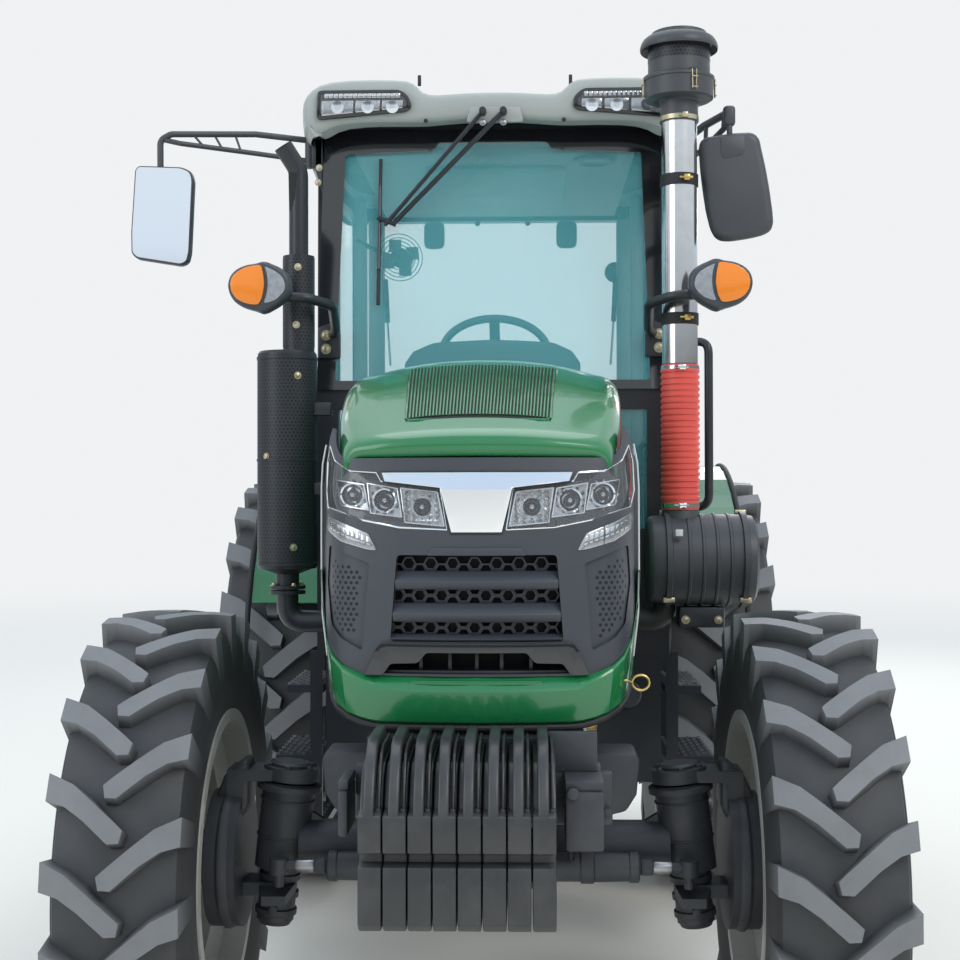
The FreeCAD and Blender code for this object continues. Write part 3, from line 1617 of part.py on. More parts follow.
def rear_end():
    w, z0, z1 = S.transmission_half_width, S.transmission_bottom, S.transmission_top
    case = box("gear_case", (-w, ENGINE_REAR + S.gap, z0 + 60), (w, S.wheelbase - 280, z1))
    rear = box("axle_case", (-w - 70, S.wheelbase - 280, z0 - 60), (w + 70, TRANSMISSION_REAR, z1))
    end = S.rear_track / 2 + S.rear_disc_offset - S.hub_inset - S.gap
    z = S.rear_tyre_radius
    tube = rod("rear_axle_tube", S.rear_axle_tube_radius, end * 2, (-end, S.wheelbase, z), "x")
    trumpets = [
        cone("trumpet_left", 118, S.rear_axle_tube_radius, 300, (w + 70, S.wheelbase, z), "x"),
    ]
    trumpets.append(mirrored("trumpet_right", trumpets[0]))
    ears = [
        box(f"link_ear_{k}", (x, LINK_PIVOT_Y - 60, S.link_pivot_height - 45),
            (x + 30, LINK_PIVOT_Y + 40, z0 + 60))
        for k, x in enumerate((S.link_pivot_half_spacing - 60, -S.link_pivot_half_spacing + 30))
    ]
    bridge = [
        box("ear_bridge_left", (w, LINK_PIVOT_Y - 60, z0 - 40),
            (S.link_pivot_half_spacing - 30, LINK_PIVOT_Y + 40, z0 + 60)),
    ]
    bridge.append(mirrored("ear_bridge_right", bridge[0]))
    pins = [
        rod(f"link_pin_{k}", 15.95, 80, (x, LINK_PIVOT_Y, S.link_pivot_height), "x")
        for k, x in enumerate((S.link_pivot_half_spacing - 60, -S.link_pivot_half_spacing - 20))
    ]
    mounts = []
    mount_places = [(x, S.wheelbase - 1300) for x in (150, -150)]
    mount_places += [(x, S.wheelbase - 80) for x in (200, -200)]
    for k, (x, at) in enumerate(mount_places):
        mounts.append(rod(f"cab_mount_{k}", 38, S.cab_floor_height - S.gap - z1 + 5, (x, at, z1 - 5)))
    solids = [case, rear, tube, *trumpets, *ears, *bridge, *pins, *mounts]
    node("transmission_housing", fuse("transmission_housing", *solids))
    node(
        "pto_shaft",
        rod("pto_shaft", S.pto_radius, S.pto_length, (0, TRANSMISSION_REAR + S.gap, S.pto_height), "y"),
    )
    zd = S.drawbar_height
    bar = box("drawbar_bar", (-40, S.wheelbase - 300, zd - 16), (40, DRAWBAR_REAR, zd + 16))
    hole = rod("drawbar_hole", S.drawbar_hole_radius, 60, (0, DRAWBAR_REAR - 45, zd - 30))
    hanger = box("drawbar_hanger", (-90, TRANSMISSION_REAR - 140, zd - 40),
        (90, TRANSMISSION_REAR - 80, z0 - 60 - S.gap))
    front_hanger = box("drawbar_pivot", (-60, S.wheelbase - 300, zd - 30),
        (60, S.wheelbase - 220, z0 - 60 - S.gap))
    node("drawbar", cut("drawbar", fuse("drawbar_solid", bar, hanger, front_hanger), hole))
    y = TRANSMISSION_REAR
    bracket = box("top_link_bracket", (-60, y + S.gap, 860), (60, y + 70, 960))
    link = rod("top_link_bar", 22, 560, (0, y + 45, 940))
    node("top_link", fuse("top_link", bracket, link))


def hitch():
    """Lower links with their ball eyes, the lift arms and the rods between them."""
    y, z = float(LINK_PIVOT_Y), float(S.link_pivot_height)
    drop = math.radians(float(S.link_drop))
    t, d = float(S.link_thickness), float(S.link_depth)
    x0, x1 = float(S.link_pivot_half_spacing), float(S.link_end_half_spacing)
    length = float(S.link_length)

    def along(a):
        return vec(x0 + (x1 - x0) * a / length, y + a * math.cos(drop), z - a * math.sin(drop))

    start, end = along(0), along(length)
    bar_points = []
    for a, h in ((20, d * 0.5), (length * 0.45, d * 0.62), (length - 30, d * 0.36)):
        c = along(a)
        bar_points.append([(c.x - t / 2, c.y, c.z - h), (c.x + t / 2, c.y, c.z - h),
            (c.x + t / 2, c.y, c.z + h), (c.x - t / 2, c.y, c.z + h)])
    bar = loft(bar_points)
    eyes = []
    for point, radius, bore, width in ((start, 42, 16, 34), (end, 46, float(S.link_eye_radius), 45)):
        outer = Part.makeCylinder(radius, width, point - vec(width / 2, 0, 0), vec(1, 0, 0))
        eyes.append((outer, Part.makeCylinder(bore, width + 2, point - vec(width / 2 + 1, 0, 0),
            vec(1, 0, 0))))
    shape = bar.fuse([o for o, _ in eyes]).cut(eyes[0][1]).cut(eyes[1][1])
    rod_at = along(float(S.link_rod_point))
    shape = shape.fuse(bar_x(11.95, rod_at.x - t / 2 - 34, rod_at.x, rod_at.y, rod_at.z)).removeSplitter()
    left = feature("lower_link_left", shape)
    node("lower_links", together("lower_links", left, mirrored("lower_link_right", left)))
    ax = float(S.lift_arm_x)
    az, reach = float(S.lift_arm_height), float(S.lift_arm_reach)
    fall = math.radians(float(S.lift_arm_drop))
    tip = vec(ax, y + reach * math.cos(fall), az - reach * math.sin(fall))
    inner = float(S.transmission_half_width) + 70 + float(S.gap)
    rows = []
    for c, h in ((vec(ax, y, az), 48), (tip, 24)):
        rows.append([(c.x - 14, c.y, c.z - h), (c.x + 14, c.y, c.z - h), (c.x + 14, c.y, c.z + h),
            (c.x - 14, c.y, c.z + h)])
    arm = loft(rows).fuse([
        bar_x(52, ax - 14, ax + 14, y, az),
        bar_x(38, inner, ax, y, az),
        bar_x(30, ax - 14, ax + 14, tip.y, tip.z),
        bar_x(11.95, ax, ax + 48, tip.y, tip.z),
    ])
    left = feature("lift_arm_left", arm.removeSplitter())
    node("lift_arms", together("lift_arms", left, mirrored("lift_arm_right", left)))
    low = along(float(S.link_rod_point))
    a = vec(ax + 31, tip.y, tip.z)
    b = vec(low.x - t / 2 - 19, low.y, low.z)
    step = (b - a).normalize() * 18
    rod_solid = pipe_straight(a + step, b - step, 13)
    rod_solid = rod_solid.fuse([bar_x(26, a.x - 13, a.x + 13, a.y, a.z),
        bar_x(30, b.x - 12, b.x + 12, b.y, b.z)])
    rod_solid = rod_solid.cut([bar_x(12, a.x - 20, a.x + 20, a.y, a.z),
        bar_x(17, b.x - 20, b.x + 20, b.y, b.z)])
    left = feature("lift_rod_left", rod_solid)
    node("lift_rods", together("lift_rods", left, mirrored("lift_rod_right", left)))


def bar_x(radius, low, high, y, z):
    """A round solid along X."""
    return Part.makeCylinder(radius, high - low, FreeCAD.Vector(low, y, z), FreeCAD.Vector(1, 0, 0))


def pipe_straight(start, stop, radius):
    return Part.makeCylinder(radius, (stop - start).Length, start, stop - start)


wheels()
front_axle()
knuckles()
steering_rod()
chassis()
weights()
hood()
nose()
stacks()
cab()
doors()
fenders()
side_equipment()
lamps_and_mirrors()
interior()
rear_end()
hitch()
doc.recompute()


def finish():
    """Checks every sub-part and writes its file."""
    os.makedirs("parts", exist_ok=True)
    whole = FreeCAD.BoundBox()
    bad = [o.Name for o in doc.Objects if "Invalid" in o.State or "Error" in o.State]
    if bad:
        raise RuntimeError(f"failed objects: {bad}")
    for name, made in nodes.items():
        if made.Shape.isNull() or not made.Shape.isValid() or not made.Shape.Solids:
            raise RuntimeError(f"{name} has no valid solid")
        made.Shape.exportStep(f"parts/{name}.step")
        whole.add(made.Shape.BoundBox)
        print(name, len(made.Shape.Solids), round(made.Shape.Volume / 1e6, 2))
    print("outline", whole)


finish()
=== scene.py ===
import math

import bmesh
import bpy
from mathutils import Matrix, Vector


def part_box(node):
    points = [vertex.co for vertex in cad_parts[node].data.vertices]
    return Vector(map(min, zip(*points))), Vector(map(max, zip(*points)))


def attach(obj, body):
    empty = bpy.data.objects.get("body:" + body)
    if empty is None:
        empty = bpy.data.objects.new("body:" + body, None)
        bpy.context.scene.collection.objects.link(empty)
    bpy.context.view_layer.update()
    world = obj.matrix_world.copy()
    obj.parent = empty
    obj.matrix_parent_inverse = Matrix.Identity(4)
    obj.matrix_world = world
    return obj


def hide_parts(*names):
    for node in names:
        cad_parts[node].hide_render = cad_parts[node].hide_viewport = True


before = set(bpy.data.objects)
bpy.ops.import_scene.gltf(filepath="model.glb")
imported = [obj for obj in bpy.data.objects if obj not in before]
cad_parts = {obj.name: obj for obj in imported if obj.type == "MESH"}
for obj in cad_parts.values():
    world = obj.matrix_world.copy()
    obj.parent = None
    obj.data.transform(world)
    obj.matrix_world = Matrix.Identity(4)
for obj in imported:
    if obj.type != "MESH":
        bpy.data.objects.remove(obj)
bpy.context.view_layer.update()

bl_info = {
    "name": "Farm tractor",
    "version": (1, 0, 0),
    "blender": (4, 5, 0),
    "location": "View3D > Sidebar > Tractor",
    "description": "Dresses a farm tractor's frame with its visible pieces and finishes",
    "category": "Object",
}

# Everything is drawn about the tractor's own datum, in metres: x = 0 on its plane of symmetry,
# y = 0 on the front axle, z = 0 on the ground. It faces -Y, and +X is its own left side.


def centre_of(node):
    low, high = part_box(node)
    return (low + high) / 2


LEFT_HUB = centre_of("rim_front_left")
RIGHT_HUB = centre_of("rim_front_right")
DATUM = Vector(((LEFT_HUB.x + RIGHT_HUB.x) / 2, LEFT_HUB.y, 0))
X, Y, Z = Vector((1, 0, 0)), Vector((0, 1, 0)), Vector((0, 0, 1))
AXES = {"x": X, "y": Y, "z": Z}
SHARP = math.radians(32)  # edges that turn more than this stay sharp
SUNK = 0.002  # how far the foot of a bolt's head stands in its seat
WASHER = (1.45, 0.0025)  # a washer's radius in radii of its bolt's head, and its height
FRONT = (0, -1, 0)


# Making shapes


def fresh():
    """An empty part with a UV map."""
    part = bmesh.new()
    part.loops.layers.uv.new("UVMap")
    return part


def linked(name, part):
    """Turns a part into a mesh."""
    mesh = bpy.data.meshes.new(name)
    part.to_mesh(mesh)
    part.free()
    return mesh


def added(name, data):
    """A new object of the scene."""
    obj = bpy.data.objects.new(name, data)
    bpy.context.scene.collection.objects.link(obj)
    return obj


def toward(direction):
    """Turns +Z onto a direction."""
    return direction.to_track_quat("Z", "Y").to_matrix().to_4x4()


def soften(part, offset, segments=2, angle=0.5):
    """Rounds the sharp edges of a part."""
    if offset <= 0:
        return
    edges = [e for e in part.edges if len(e.link_faces) == 2 and e.calc_face_angle(0) > angle]
    bmesh.ops.bevel(
        part, geom=edges, offset=offset, segments=segments, profile=0.5, affect="EDGES", clamp_overlap=True, material=-1
    )


def cube(size, bevel, segments=2):
    """A block about the origin."""
    part = fresh()
    bmesh.ops.create_cube(part, size=1)
    bmesh.ops.scale(part, vec=size, verts=part.verts)
    soften(part, bevel, segments)
    return part


def extruded(part, move, keep=False):
    """Extrudes all faces of a part and gives back the new vertices."""
    made = bmesh.ops.extrude_face_region(part, geom=part.faces[:], use_keep_orig=keep)["geom"]
    verts = [v for v in made if isinstance(v, bmesh.types.BMVert)]
    bmesh.ops.translate(part, vec=move, verts=verts)
    bmesh.ops.recalc_face_normals(part, faces=part.faces)
    return verts


def outward(part, direction):
    """Turns a sheet's faces so that its outermost one in a direction looks that way."""
    bmesh.ops.recalc_face_normals(part, faces=part.faces)
    face = max(part.faces, key=lambda f: f.calc_center_median().dot(direction))
    if face.normal.dot(direction) < 0:
        bmesh.ops.reverse_faces(part, faces=part.faces)


def curve(a, here, b, steps):
    """Points of a round corner from a to b."""
    shares = [k / steps for k in range(steps + 1)]
    return [a * (1 - t) ** 2 + here * 2 * t * (1 - t) + b * t**2 for t in shares]


def fillet(points, radius, steps=6):
    """A path whose corners are rounded to one radius."""
    points = [Vector(p) for p in points]
    if radius <= 0 or len(points) < 3:
        return points
    out = [points[0]]
    for before, here, after in zip(points, points[1:], points[2:]):
        back, ahead = (before - here), (after - here)
        half = back.angle(ahead) / 2
        if half > math.pi / 2 - 0.02:
            out.append(here)
            continue
        trim = min(radius / math.tan(half), back.length * 0.49, ahead.length * 0.49)
        out += curve(here + back.normalized() * trim, here, here + ahead.normalized() * trim, steps)
    return out + [points[-1]]


def rounded(outline, radius, steps=4):
    """A flat outline with its corners rounded."""
    points = [Vector(p) for p in outline]
    out = []
    for before, here, after in zip(points[-1:] + points, points, points[1:] + points[:1]):
        back, ahead = before - here, after - here
        trim = min(radius, back.length * 0.45, ahead.length * 0.45)
        out += curve(here + back.normalized() * trim, here, here + ahead.normalized() * trim, steps)
    return [tuple(p) for p in out]


def grow(outline, by):
    """An outline moved outward, or inward where negative."""
    points = [Vector(p) for p in outline]
    area = sum(a.x * b.y - b.x * a.y for a, b in zip(points, points[1:] + points[:1]))
    hand = 1 if area > 0 else -1
    out = []
    for a, b, c in zip(points[-1:] + points, points, points[1:] + points[:1]):
        n1 = Vector(((b - a).y, -(b - a).x)).normalized() * hand
        n2 = Vector(((c - b).y, -(c - b).x)).normalized() * hand
        m = (n1 + n2).normalized()
        out.append(tuple(b + m * by / max(m.dot(n1), 0.3)))
    return out


def on_side(hand, outline):
    """An outline, or its mirror image where the hand is negative."""
    return list(outline) if hand > 0 else [(-x, z) for x, z in reversed(outline)]


def band(low, high, inner, outer):
    """Profile of a plain ring for a lathe."""
    return [(low, inner), (low, outer), (high, outer), (high, inner)]


def circle(centre, radius, count, u=Y, v=Z, turn=0.0):
    """Places round a circle in the plane of two directions."""
    angles = [math.tau * (k + turn) / count for k in range(count)]
    return [Vector(centre) + (u * math.cos(a) + v * math.sin(a)) * radius for a in angles]


def flat(outline, axis, at, holes=()):
    """A flat face across an axis, with holes."""
    part = fresh()

    def verts_of(loop):
        points = [{"x": (at, u, v), "y": (u, at, v), "z": (u, v, at)}[axis] for u, v in loop]
        return [part.verts.new(p) for p in points]

    if not holes:
        part.faces.new(verts_of(outline))
        return part
    edges = []
    for loop in (outline, *holes):
        verts = verts_of(loop)
        edges += [part.edges.new((a, b)) for a, b in zip(verts, verts[1:] + verts[:1])]
    bmesh.ops.triangle_fill(part, use_beauty=True, use_dissolve=False, edges=edges)
    return part


def sliced(part, axis, start, stop, step):
    """Cuts a part into strips so that it can follow a curved surface."""
    for k in range(1, int((stop - start) / step) + 1):
        where = AXES[axis] * (start + step * k)
        geom = part.verts[:] + part.edges[:] + part.faces[:]
        bmesh.ops.bisect_plane(part, geom=geom, plane_co=where, plane_no=AXES[axis])


def sheet(rows):
    """A sheet through rows of points, each row given as one half and mirrored across the middle."""
    part = fresh()
    loops = []
    for row in rows:
        verts = [part.verts.new(p) for p in [(-x, y, z) for x, y, z in row[:0:-1]] + row]
        loops.append([part.edges.new(pair) for pair in zip(verts, verts[1:])])
    for a, b in zip(loops, loops[1:]):
        bmesh.ops.bridge_loops(part, edges=a + b)
    outward(part, Z)
    return part


class Piece:
    """Collects parts in one mesh, then becomes an object of the scene."""

    def __init__(self, name, *materials):
        self.name = name
        self.materials = [material(m) for m in materials]
        self.bm = fresh()

    def merge(self, part, mat=0, matrix=None):
        """Takes a part in, placed by a matrix."""
        if matrix is not None:
            bmesh.ops.transform(part, matrix=matrix, verts=part.verts)
        for f in part.faces:
            f.material_index = mat
        mesh = linked("part", part)
        self.bm.from_mesh(mesh)
        bpy.data.meshes.remove(mesh)

    def box(self, low, high, bevel=0.003, mat=0, segments=2):
        """A block between two corners."""
        low, high = Vector(low), Vector(high)
        part = cube([abs(c) for c in high - low], bevel, segments)
        self.merge(part, mat, Matrix.Translation((low + high) / 2))

    def rod(self, a, b, radius, sides=24, bevel=0.002, mat=0):
        """A round bar between two points."""
        a, b = Vector(a), Vector(b)
        part = fresh()
        bmesh.ops.create_cone(
            part, cap_ends=True, segments=sides, radius1=radius, radius2=radius, depth=(b - a).length
        )
        soften(part, bevel, 2, 0.9)
        self.merge(part, mat, Matrix.Translation((a + b) / 2) @ toward(b - a))

    def lathe(self, profile, centre, axis, sides=48, mat=0, closed=False):
        """Spins a profile of (along the axis, radius)."""
        part = fresh()
        verts = [part.verts.new((max(r, 0), 0, a)) for a, r in profile]
        edges = [part.edges.new(pair) for pair in zip(verts, verts[1:])]
        if closed:
            edges.append(part.edges.new((verts[-1], verts[0])))
        bmesh.ops.spin(
            part, geom=verts + edges, cent=(0, 0, 0), axis=(0, 0, 1), angle=math.tau, steps=sides, use_merge=True
        )
        bmesh.ops.remove_doubles(part, verts=part.verts, dist=1e-6)
        bmesh.ops.recalc_face_normals(part, faces=part.faces)
        self.merge(part, mat, Matrix.Translation(Vector(centre)) @ toward(Vector(axis)))

    def slab(self, outline, start, depth, axis="x", bevel=0.003, mat=0, segments=2):
        """An outline drawn across an axis and given a depth along it."""
        part = flat(outline, axis, start)
        extruded(part, AXES[axis] * depth)
        soften(part, bevel, segments)
        self.merge(part, mat)

    def tube(self, points, radius, bend=0.0, sides=16, mat=0, caps=True):
        """A round bar along a path."""
        path = fillet(points, bend)
        part = fresh()
        ring = normal = None
        for k, here in enumerate(path):
            along = (path[min(k + 1, len(path) - 1)] - path[max(k - 1, 0)]).normalized()
            if normal is None:
                normal = along.orthogonal().normalized()
            normal = (normal - along * normal.dot(along)).normalized()
            side = along.cross(normal)
            if ring is None:
                ring = bmesh.ops.create_circle(part, cap_ends=False, radius=1, segments=sides)["verts"]
            else:
                edges = [e for e in part.edges if e.verts[0] in last and e.verts[1] in last]
                made = bmesh.ops.extrude_edge_only(part, edges=edges)["geom"]
                order = {tuple(round(c, 9) for c in v.co): i for i, v in enumerate(ring)}
                new = [v for v in made if isinstance(v, bmesh.types.BMVert)]
                ring = sorted(new, key=lambda v: order[tuple(round(c, 9) for c in v.co)])
            for i, v in enumerate(ring):
                a = math.tau * i / sides
                v.co = here + (normal * math.cos(a) + side * math.sin(a)) * radius
            last = set(ring)
        if caps:
            bmesh.ops.holes_fill(part, edges=part.edges, sides=0)
        bmesh.ops.recalc_face_normals(part, faces=part.faces)
        self.merge(part, mat)

    def bolts(self, places, axis, radius=0.011, height=0.009, mat=0, washer=True):
        """Hexagon bolt heads at places, standing along an axis."""
        axis = Vector(axis).normalized()
        for p in places:
            foot = Vector(p) - axis * SUNK
            if washer:
                self.rod(foot, Vector(p) + axis * WASHER[1], radius * WASHER[0], sides=18, bevel=0, mat=mat)
            self.rod(foot, Vector(p) + axis * height, radius, sides=6, bevel=0.001, mat=mat)

    def done(self, body, replaced=(), modifiers=()):
        """Makes the object, in the row's frame, riding on its body."""
        mesh = linked(self.name, self.bm)
        mesh.transform(Matrix.Translation(DATUM))
        for m in self.materials:
            mesh.materials.append(m)
        mesh.shade_smooth()
        mesh.set_sharp_from_angle(angle=SHARP)
        obj = added(self.name, mesh)
        for kind, values in modifiers:
            modifier = obj.modifiers.new(kind.title(), kind)
            for key, value in values.items():
                setattr(modifier, key, value)
        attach(obj, body)
        if replaced:
            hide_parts(*replaced)
        return obj


# Materials

_materials = {}


def nodes_of(mat):
    mat.use_nodes = True
    return mat.node_tree, mat.node_tree.nodes["Principled BSDF"]


def fill(tree, target, inputs):
    """Sets a node's inputs, each to a value or to the output that feeds it."""
    for key, value in inputs.items():
        if isinstance(value, bpy.types.NodeSocket):
            tree.links.new(value, target.inputs[key])
        else:
            target.inputs[key].default_value = value


def node(tree, kind, inputs=None, **settings):
    """Adds a shader node with its settings and inputs."""
    made = tree.nodes.new("ShaderNode" + kind)
    for key, value in settings.items():
        setattr(made, key, value)
    fill(tree, made, inputs or {})
    return made


def maths(tree, operation, *values, **settings):
    """The result of a sum on values or outputs."""
    return node(tree, "Math", dict(enumerate(values)), operation=operation, **settings).outputs[0]


def group(name, output, **inputs):
    """A shader node group with number inputs and one output."""
    tree = bpy.data.node_groups.new(name, "ShaderNodeTree")
    for label, value in inputs.items():
        tree.interface.new_socket(name=label, in_out="INPUT", socket_type="NodeSocketFloat").default_value = value
    tree.interface.new_socket(name=output, in_out="OUTPUT", socket_type="NodeSocketFloat")
    return tree, tree.nodes.new("NodeGroupInput").outputs, tree.nodes.new("NodeGroupOutput")


def mottle_group():
    """A patchy mask in object space: dust, stains and uneven wear."""
    tree, given, out = group("Mottle", "Mask", Scale=6.0, Low=0.45, High=0.7)
    where = node(tree, "TexCoord").outputs["Object"]
    noise = node(tree, "TexNoise", {"Vector": where, "Scale": given["Scale"], "Detail": 6, "Roughness": 0.62})
    limits = {"Value": noise.outputs["Fac"], "From Min": given["Low"], "From Max": given["High"]}
    fill(tree, out, {"Mask": node(tree, "MapRange", limits).outputs["Result"]})
    return tree


def holes_group():
    """A mask of round holes in staggered rows on the piece's UV map: 1 in a hole."""
    tree, given, out = group("Holes", "Mask", Pitch=0.012, Radius=0.3)
    tall = math.sqrt(3)  # two rows of a staggered pattern, in pitches
    steps = {"X": given["Pitch"], "Y": maths(tree, "MULTIPLY", given["Pitch"], tall), "Z": 1}
    cells = {0: node(tree, "TexCoord").outputs["UV"], 1: node(tree, "CombineXYZ", steps).outputs[0]}
    cell = node(tree, "VectorMath", cells, operation="DIVIDE").outputs[0]
    rows = []
    for shift in (0.0, 0.5):
        last = node(tree, "VectorMath", {0: cell, 1: (shift, shift, 0)}, operation="ADD")
        last = node(tree, "VectorMath", {0: last.outputs[0]}, operation="FRACTION")
        last = node(tree, "VectorMath", {0: last.outputs[0], 1: (0.5, 0.5, 0)}, operation="SUBTRACT")
        last = node(tree, "VectorMath", {0: last.outputs[0], 1: (1, tall, 0)}, operation="MULTIPLY")
        last = node(tree, "VectorMath", {0: last.outputs[0]}, operation="LENGTH")
        rows.append(maths(tree, "LESS_THAN", last.outputs["Value"], given["Radius"]))
    fill(tree, out, {"Mask": maths(tree, "MAXIMUM", *rows)})
    return tree


def grain_group():
    """A fine relief height in object space."""
    tree, given, out = group("Grain", "Height", Scale=400.0)
    where = node(tree, "TexCoord").outputs["Object"]
    noise = node(tree, "TexNoise", {"Vector": where, "Scale": given["Scale"], "Detail": 3})
    fill(tree, out, {"Height": noise.outputs["Fac"]})
    return tree


GROUPS = {"Mottle": mottle_group, "Holes": holes_group, "Grain": grain_group}


def use(tree, name, **values):
    """The output of a shader group, which is built the first time."""
    placed = tree.nodes.new("ShaderNodeGroup")
    placed.node_tree = bpy.data.node_groups.get(name) or GROUPS[name]()
    fill(tree, placed, values)
    return placed.outputs[0]


def coloured(tree, shader, share, base, second):
    """Mixes two colours by a share."""
    mix = node(tree, "Mix", {"A": (*base, 1), "B": (*second, 1), "Factor": share}, data_type="RGBA")
    fill(tree, shader, {"Base Color": mix.outputs["Result"]})


def relief(tree, shader, height, strength):
    """Bumps the surface by a height."""
    bump = node(tree, "Bump", {"Height": height, "Strength": strength, "Distance": 0.002})
    fill(tree, shader, {"Normal": bump.outputs["Normal"]})


# name: base colour, roughness, metallic, coat, second colour, mottle scale, low, high, grain scale, grain strength
LOOKS = {
    "green paint": ((0.010, 0.165, 0.05), 0.26, 0.0, 0.7, (0.012, 0.185, 0.06), 1.5, 0.4, 0.7, 0, 0),
    "black paint": ((0.018, 0.021, 0.027), 0.36, 0.0, 0.0, (0.036, 0.039, 0.045), 5, 0.5, 0.85, 260, 0.03),
    "casting": ((0.042, 0.045, 0.053), 0.5, 0.0, 0.0, (0.075, 0.076, 0.08), 7, 0.48, 0.8, 160, 0.12),
    "weight casting": ((0.03, 0.031, 0.033), 0.42, 0.0, 0.15, (0.06, 0.06, 0.06), 9, 0.45, 0.8, 130, 0.14),
    "dark plastic": ((0.05, 0.053, 0.06), 0.42, 0.0, 0.0, (0.065, 0.068, 0.075), 3, 0.4, 0.8, 900, 0.04),
    "mask plastic": ((0.045, 0.05, 0.062), 0.42, 0.0, 0.0, (0.055, 0.06, 0.072), 3, 0.4, 0.8, 900, 0.04),
    "gloss black": ((0.012, 0.013, 0.016), 0.12, 0.0, 0.8, (0.014, 0.015, 0.018), 3, 0.4, 0.8, 0, 0),
    # near black for holes, hollows and gaps: painted shade
    "painted hollow shade": ((0.006, 0.006, 0.007), 0.7, 0.0, 0.0, (0.01, 0.01, 0.011), 3, 0.4, 0.8, 0, 0),
    "roof plastic": ((0.36, 0.385, 0.37), 0.36, 0.0, 0.1, (0.325, 0.35, 0.335), 1.6, 0.42, 0.72, 0, 0),
    "rim paint": ((0.5, 0.5, 0.47), 0.34, 0.0, 0.2, (0.38, 0.37, 0.33), 6, 0.5, 0.75, 0, 0),
    "chrome": ((0.86, 0.87, 0.88), 0.05, 1.0, 0.0, (0.82, 0.83, 0.84), 3, 0.4, 0.8, 0, 0),
    "polished tube": ((0.72, 0.71, 0.69), 0.16, 1.0, 0.0, (0.6, 0.58, 0.55), 8, 0.45, 0.75, 0, 0),
    "bare steel": ((0.42, 0.42, 0.43), 0.34, 1.0, 0.0, (0.3, 0.29, 0.28), 12, 0.45, 0.75, 300, 0.05),
    "zinc": ((0.62, 0.56, 0.4), 0.36, 1.0, 0.0, (0.5, 0.42, 0.26), 20, 0.4, 0.7, 0, 0),
    "brass": ((0.72, 0.5, 0.18), 0.3, 1.0, 0.0, (0.6, 0.4, 0.14), 20, 0.4, 0.7, 0, 0),
    "red hose": ((0.78, 0.1, 0.08), 0.42, 0.0, 0.1, (0.7, 0.09, 0.07), 9, 0.4, 0.7, 0, 0),
    "rubber seal": ((0.012, 0.012, 0.013), 0.6, 0.0, 0.0, (0.02, 0.02, 0.02), 6, 0.4, 0.7, 300, 0.05),
    "seat cloth": ((0.035, 0.037, 0.042), 0.85, 0.0, 0.0, (0.05, 0.052, 0.058), 30, 0.4, 0.7, 700, 0.06),
    "lining": ((0.22, 0.23, 0.23), 0.75, 0.0, 0.0, (0.19, 0.2, 0.2), 8, 0.4, 0.7, 0, 0),
    "lamp inside": ((0.62, 0.63, 0.64), 0.18, 0.9, 0.0, (0.5, 0.51, 0.53), 60, 0.4, 0.6, 0, 0),
    # white for a thin line down the hood's side edges, a painted highlight, and for a small patch on the air cleaner
    "white patch and painted highlight": ((0.72, 0.73, 0.72), 0.3, 0.0, 0.4, (0.68, 0.69, 0.68), 3, 0.4, 0.7, 0, 0),
    "mirror glass": ((0.88, 0.9, 0.92), 0.02, 1.0, 0.0, (0.88, 0.9, 0.92), 3, 0.4, 0.7, 0, 0),
    "red lens": ((0.45, 0.008, 0.006), 0.15, 0.0, 0.6, (0.35, 0.006, 0.005), 40, 0.4, 0.6, 0, 0),
}
GLASSES = {  # name: colour, roughness, alpha
    "cab glass": ((0.2, 0.78, 0.86), 0.02, 0.19),
    "lens": ((0.35, 0.37, 0.4), 0.03, 0.12),
    "orange lens": ((0.95, 0.27, 0.03), 0.12, 0.94),
}


def perforated(tree, shader):
    """Sheet steel full of holes."""
    hole = use(tree, "Holes", Pitch=0.0125, Radius=0.3)
    fill(tree, shader, {"Roughness": 0.4})
    # The holes are near black: painted shade of the space behind the sheet.
    coloured(tree, shader, hole, (0.022, 0.026, 0.032), (0.002, 0.002, 0.003))
    relief(tree, shader, maths(tree, "SUBTRACT", 1, hole), 0.6)


def rubber(tree, shader):
    """Tyre rubber, grey where the lugs are worn."""
    worn = maths(tree, "MULTIPLY", node(tree, "Attribute", attribute_name="wear").outputs["Fac"], 0.9)
    dusty = maths(tree, "MULTIPLY_ADD", use(tree, "Mottle", Scale=11.0, Low=0.3, High=0.75), 0.25, worn)
    share = maths(tree, "MULTIPLY", dusty, maths(tree, "MULTIPLY_ADD", worn, 0.8, 0.2), use_clamp=True)
    fill(tree, shader, {"Roughness": 0.55})
    coloured(tree, shader, share, (0.032, 0.033, 0.036), (0.185, 0.19, 0.2))
    relief(tree, shader, use(tree, "Grain", Scale=220.0), 0.08)


def material(name):
    """A material by its name, built the first time."""
    if name in _materials:
        return _materials[name]
    mat = _materials[name] = bpy.data.materials.new(name)
    tree, shader = nodes_of(mat)
    if name == "perforated":
        perforated(tree, shader)
    elif name == "tyre rubber":
        rubber(tree, shader)
    elif name in GLASSES:
        colour, rough, alpha = GLASSES[name]
        fill(tree, shader, {"Base Color": (*colour, 1), "Roughness": rough, "IOR": 1.5, "Alpha": alpha})
    else:
        base, rough, metal, coat, second, scale, low, high, grain, strength = LOOKS[name]
        coloured(tree, shader, use(tree, "Mottle", Scale=scale, Low=low, High=high), base, second)
        fill(tree, shader, {"Roughness": rough, "Metallic": metal, "Coat Weight": coat, "Coat Roughness": 0.06})
        if grain:
            relief(tree, shader, use(tree, "Grain", Scale=grain), strength)
    return mat


# Tyres

WHEELS = ("front_left", "front_right", "rear_left", "rear_right")
BEAD = 0.02  # how far the tyre's bead reaches below the rim's edge
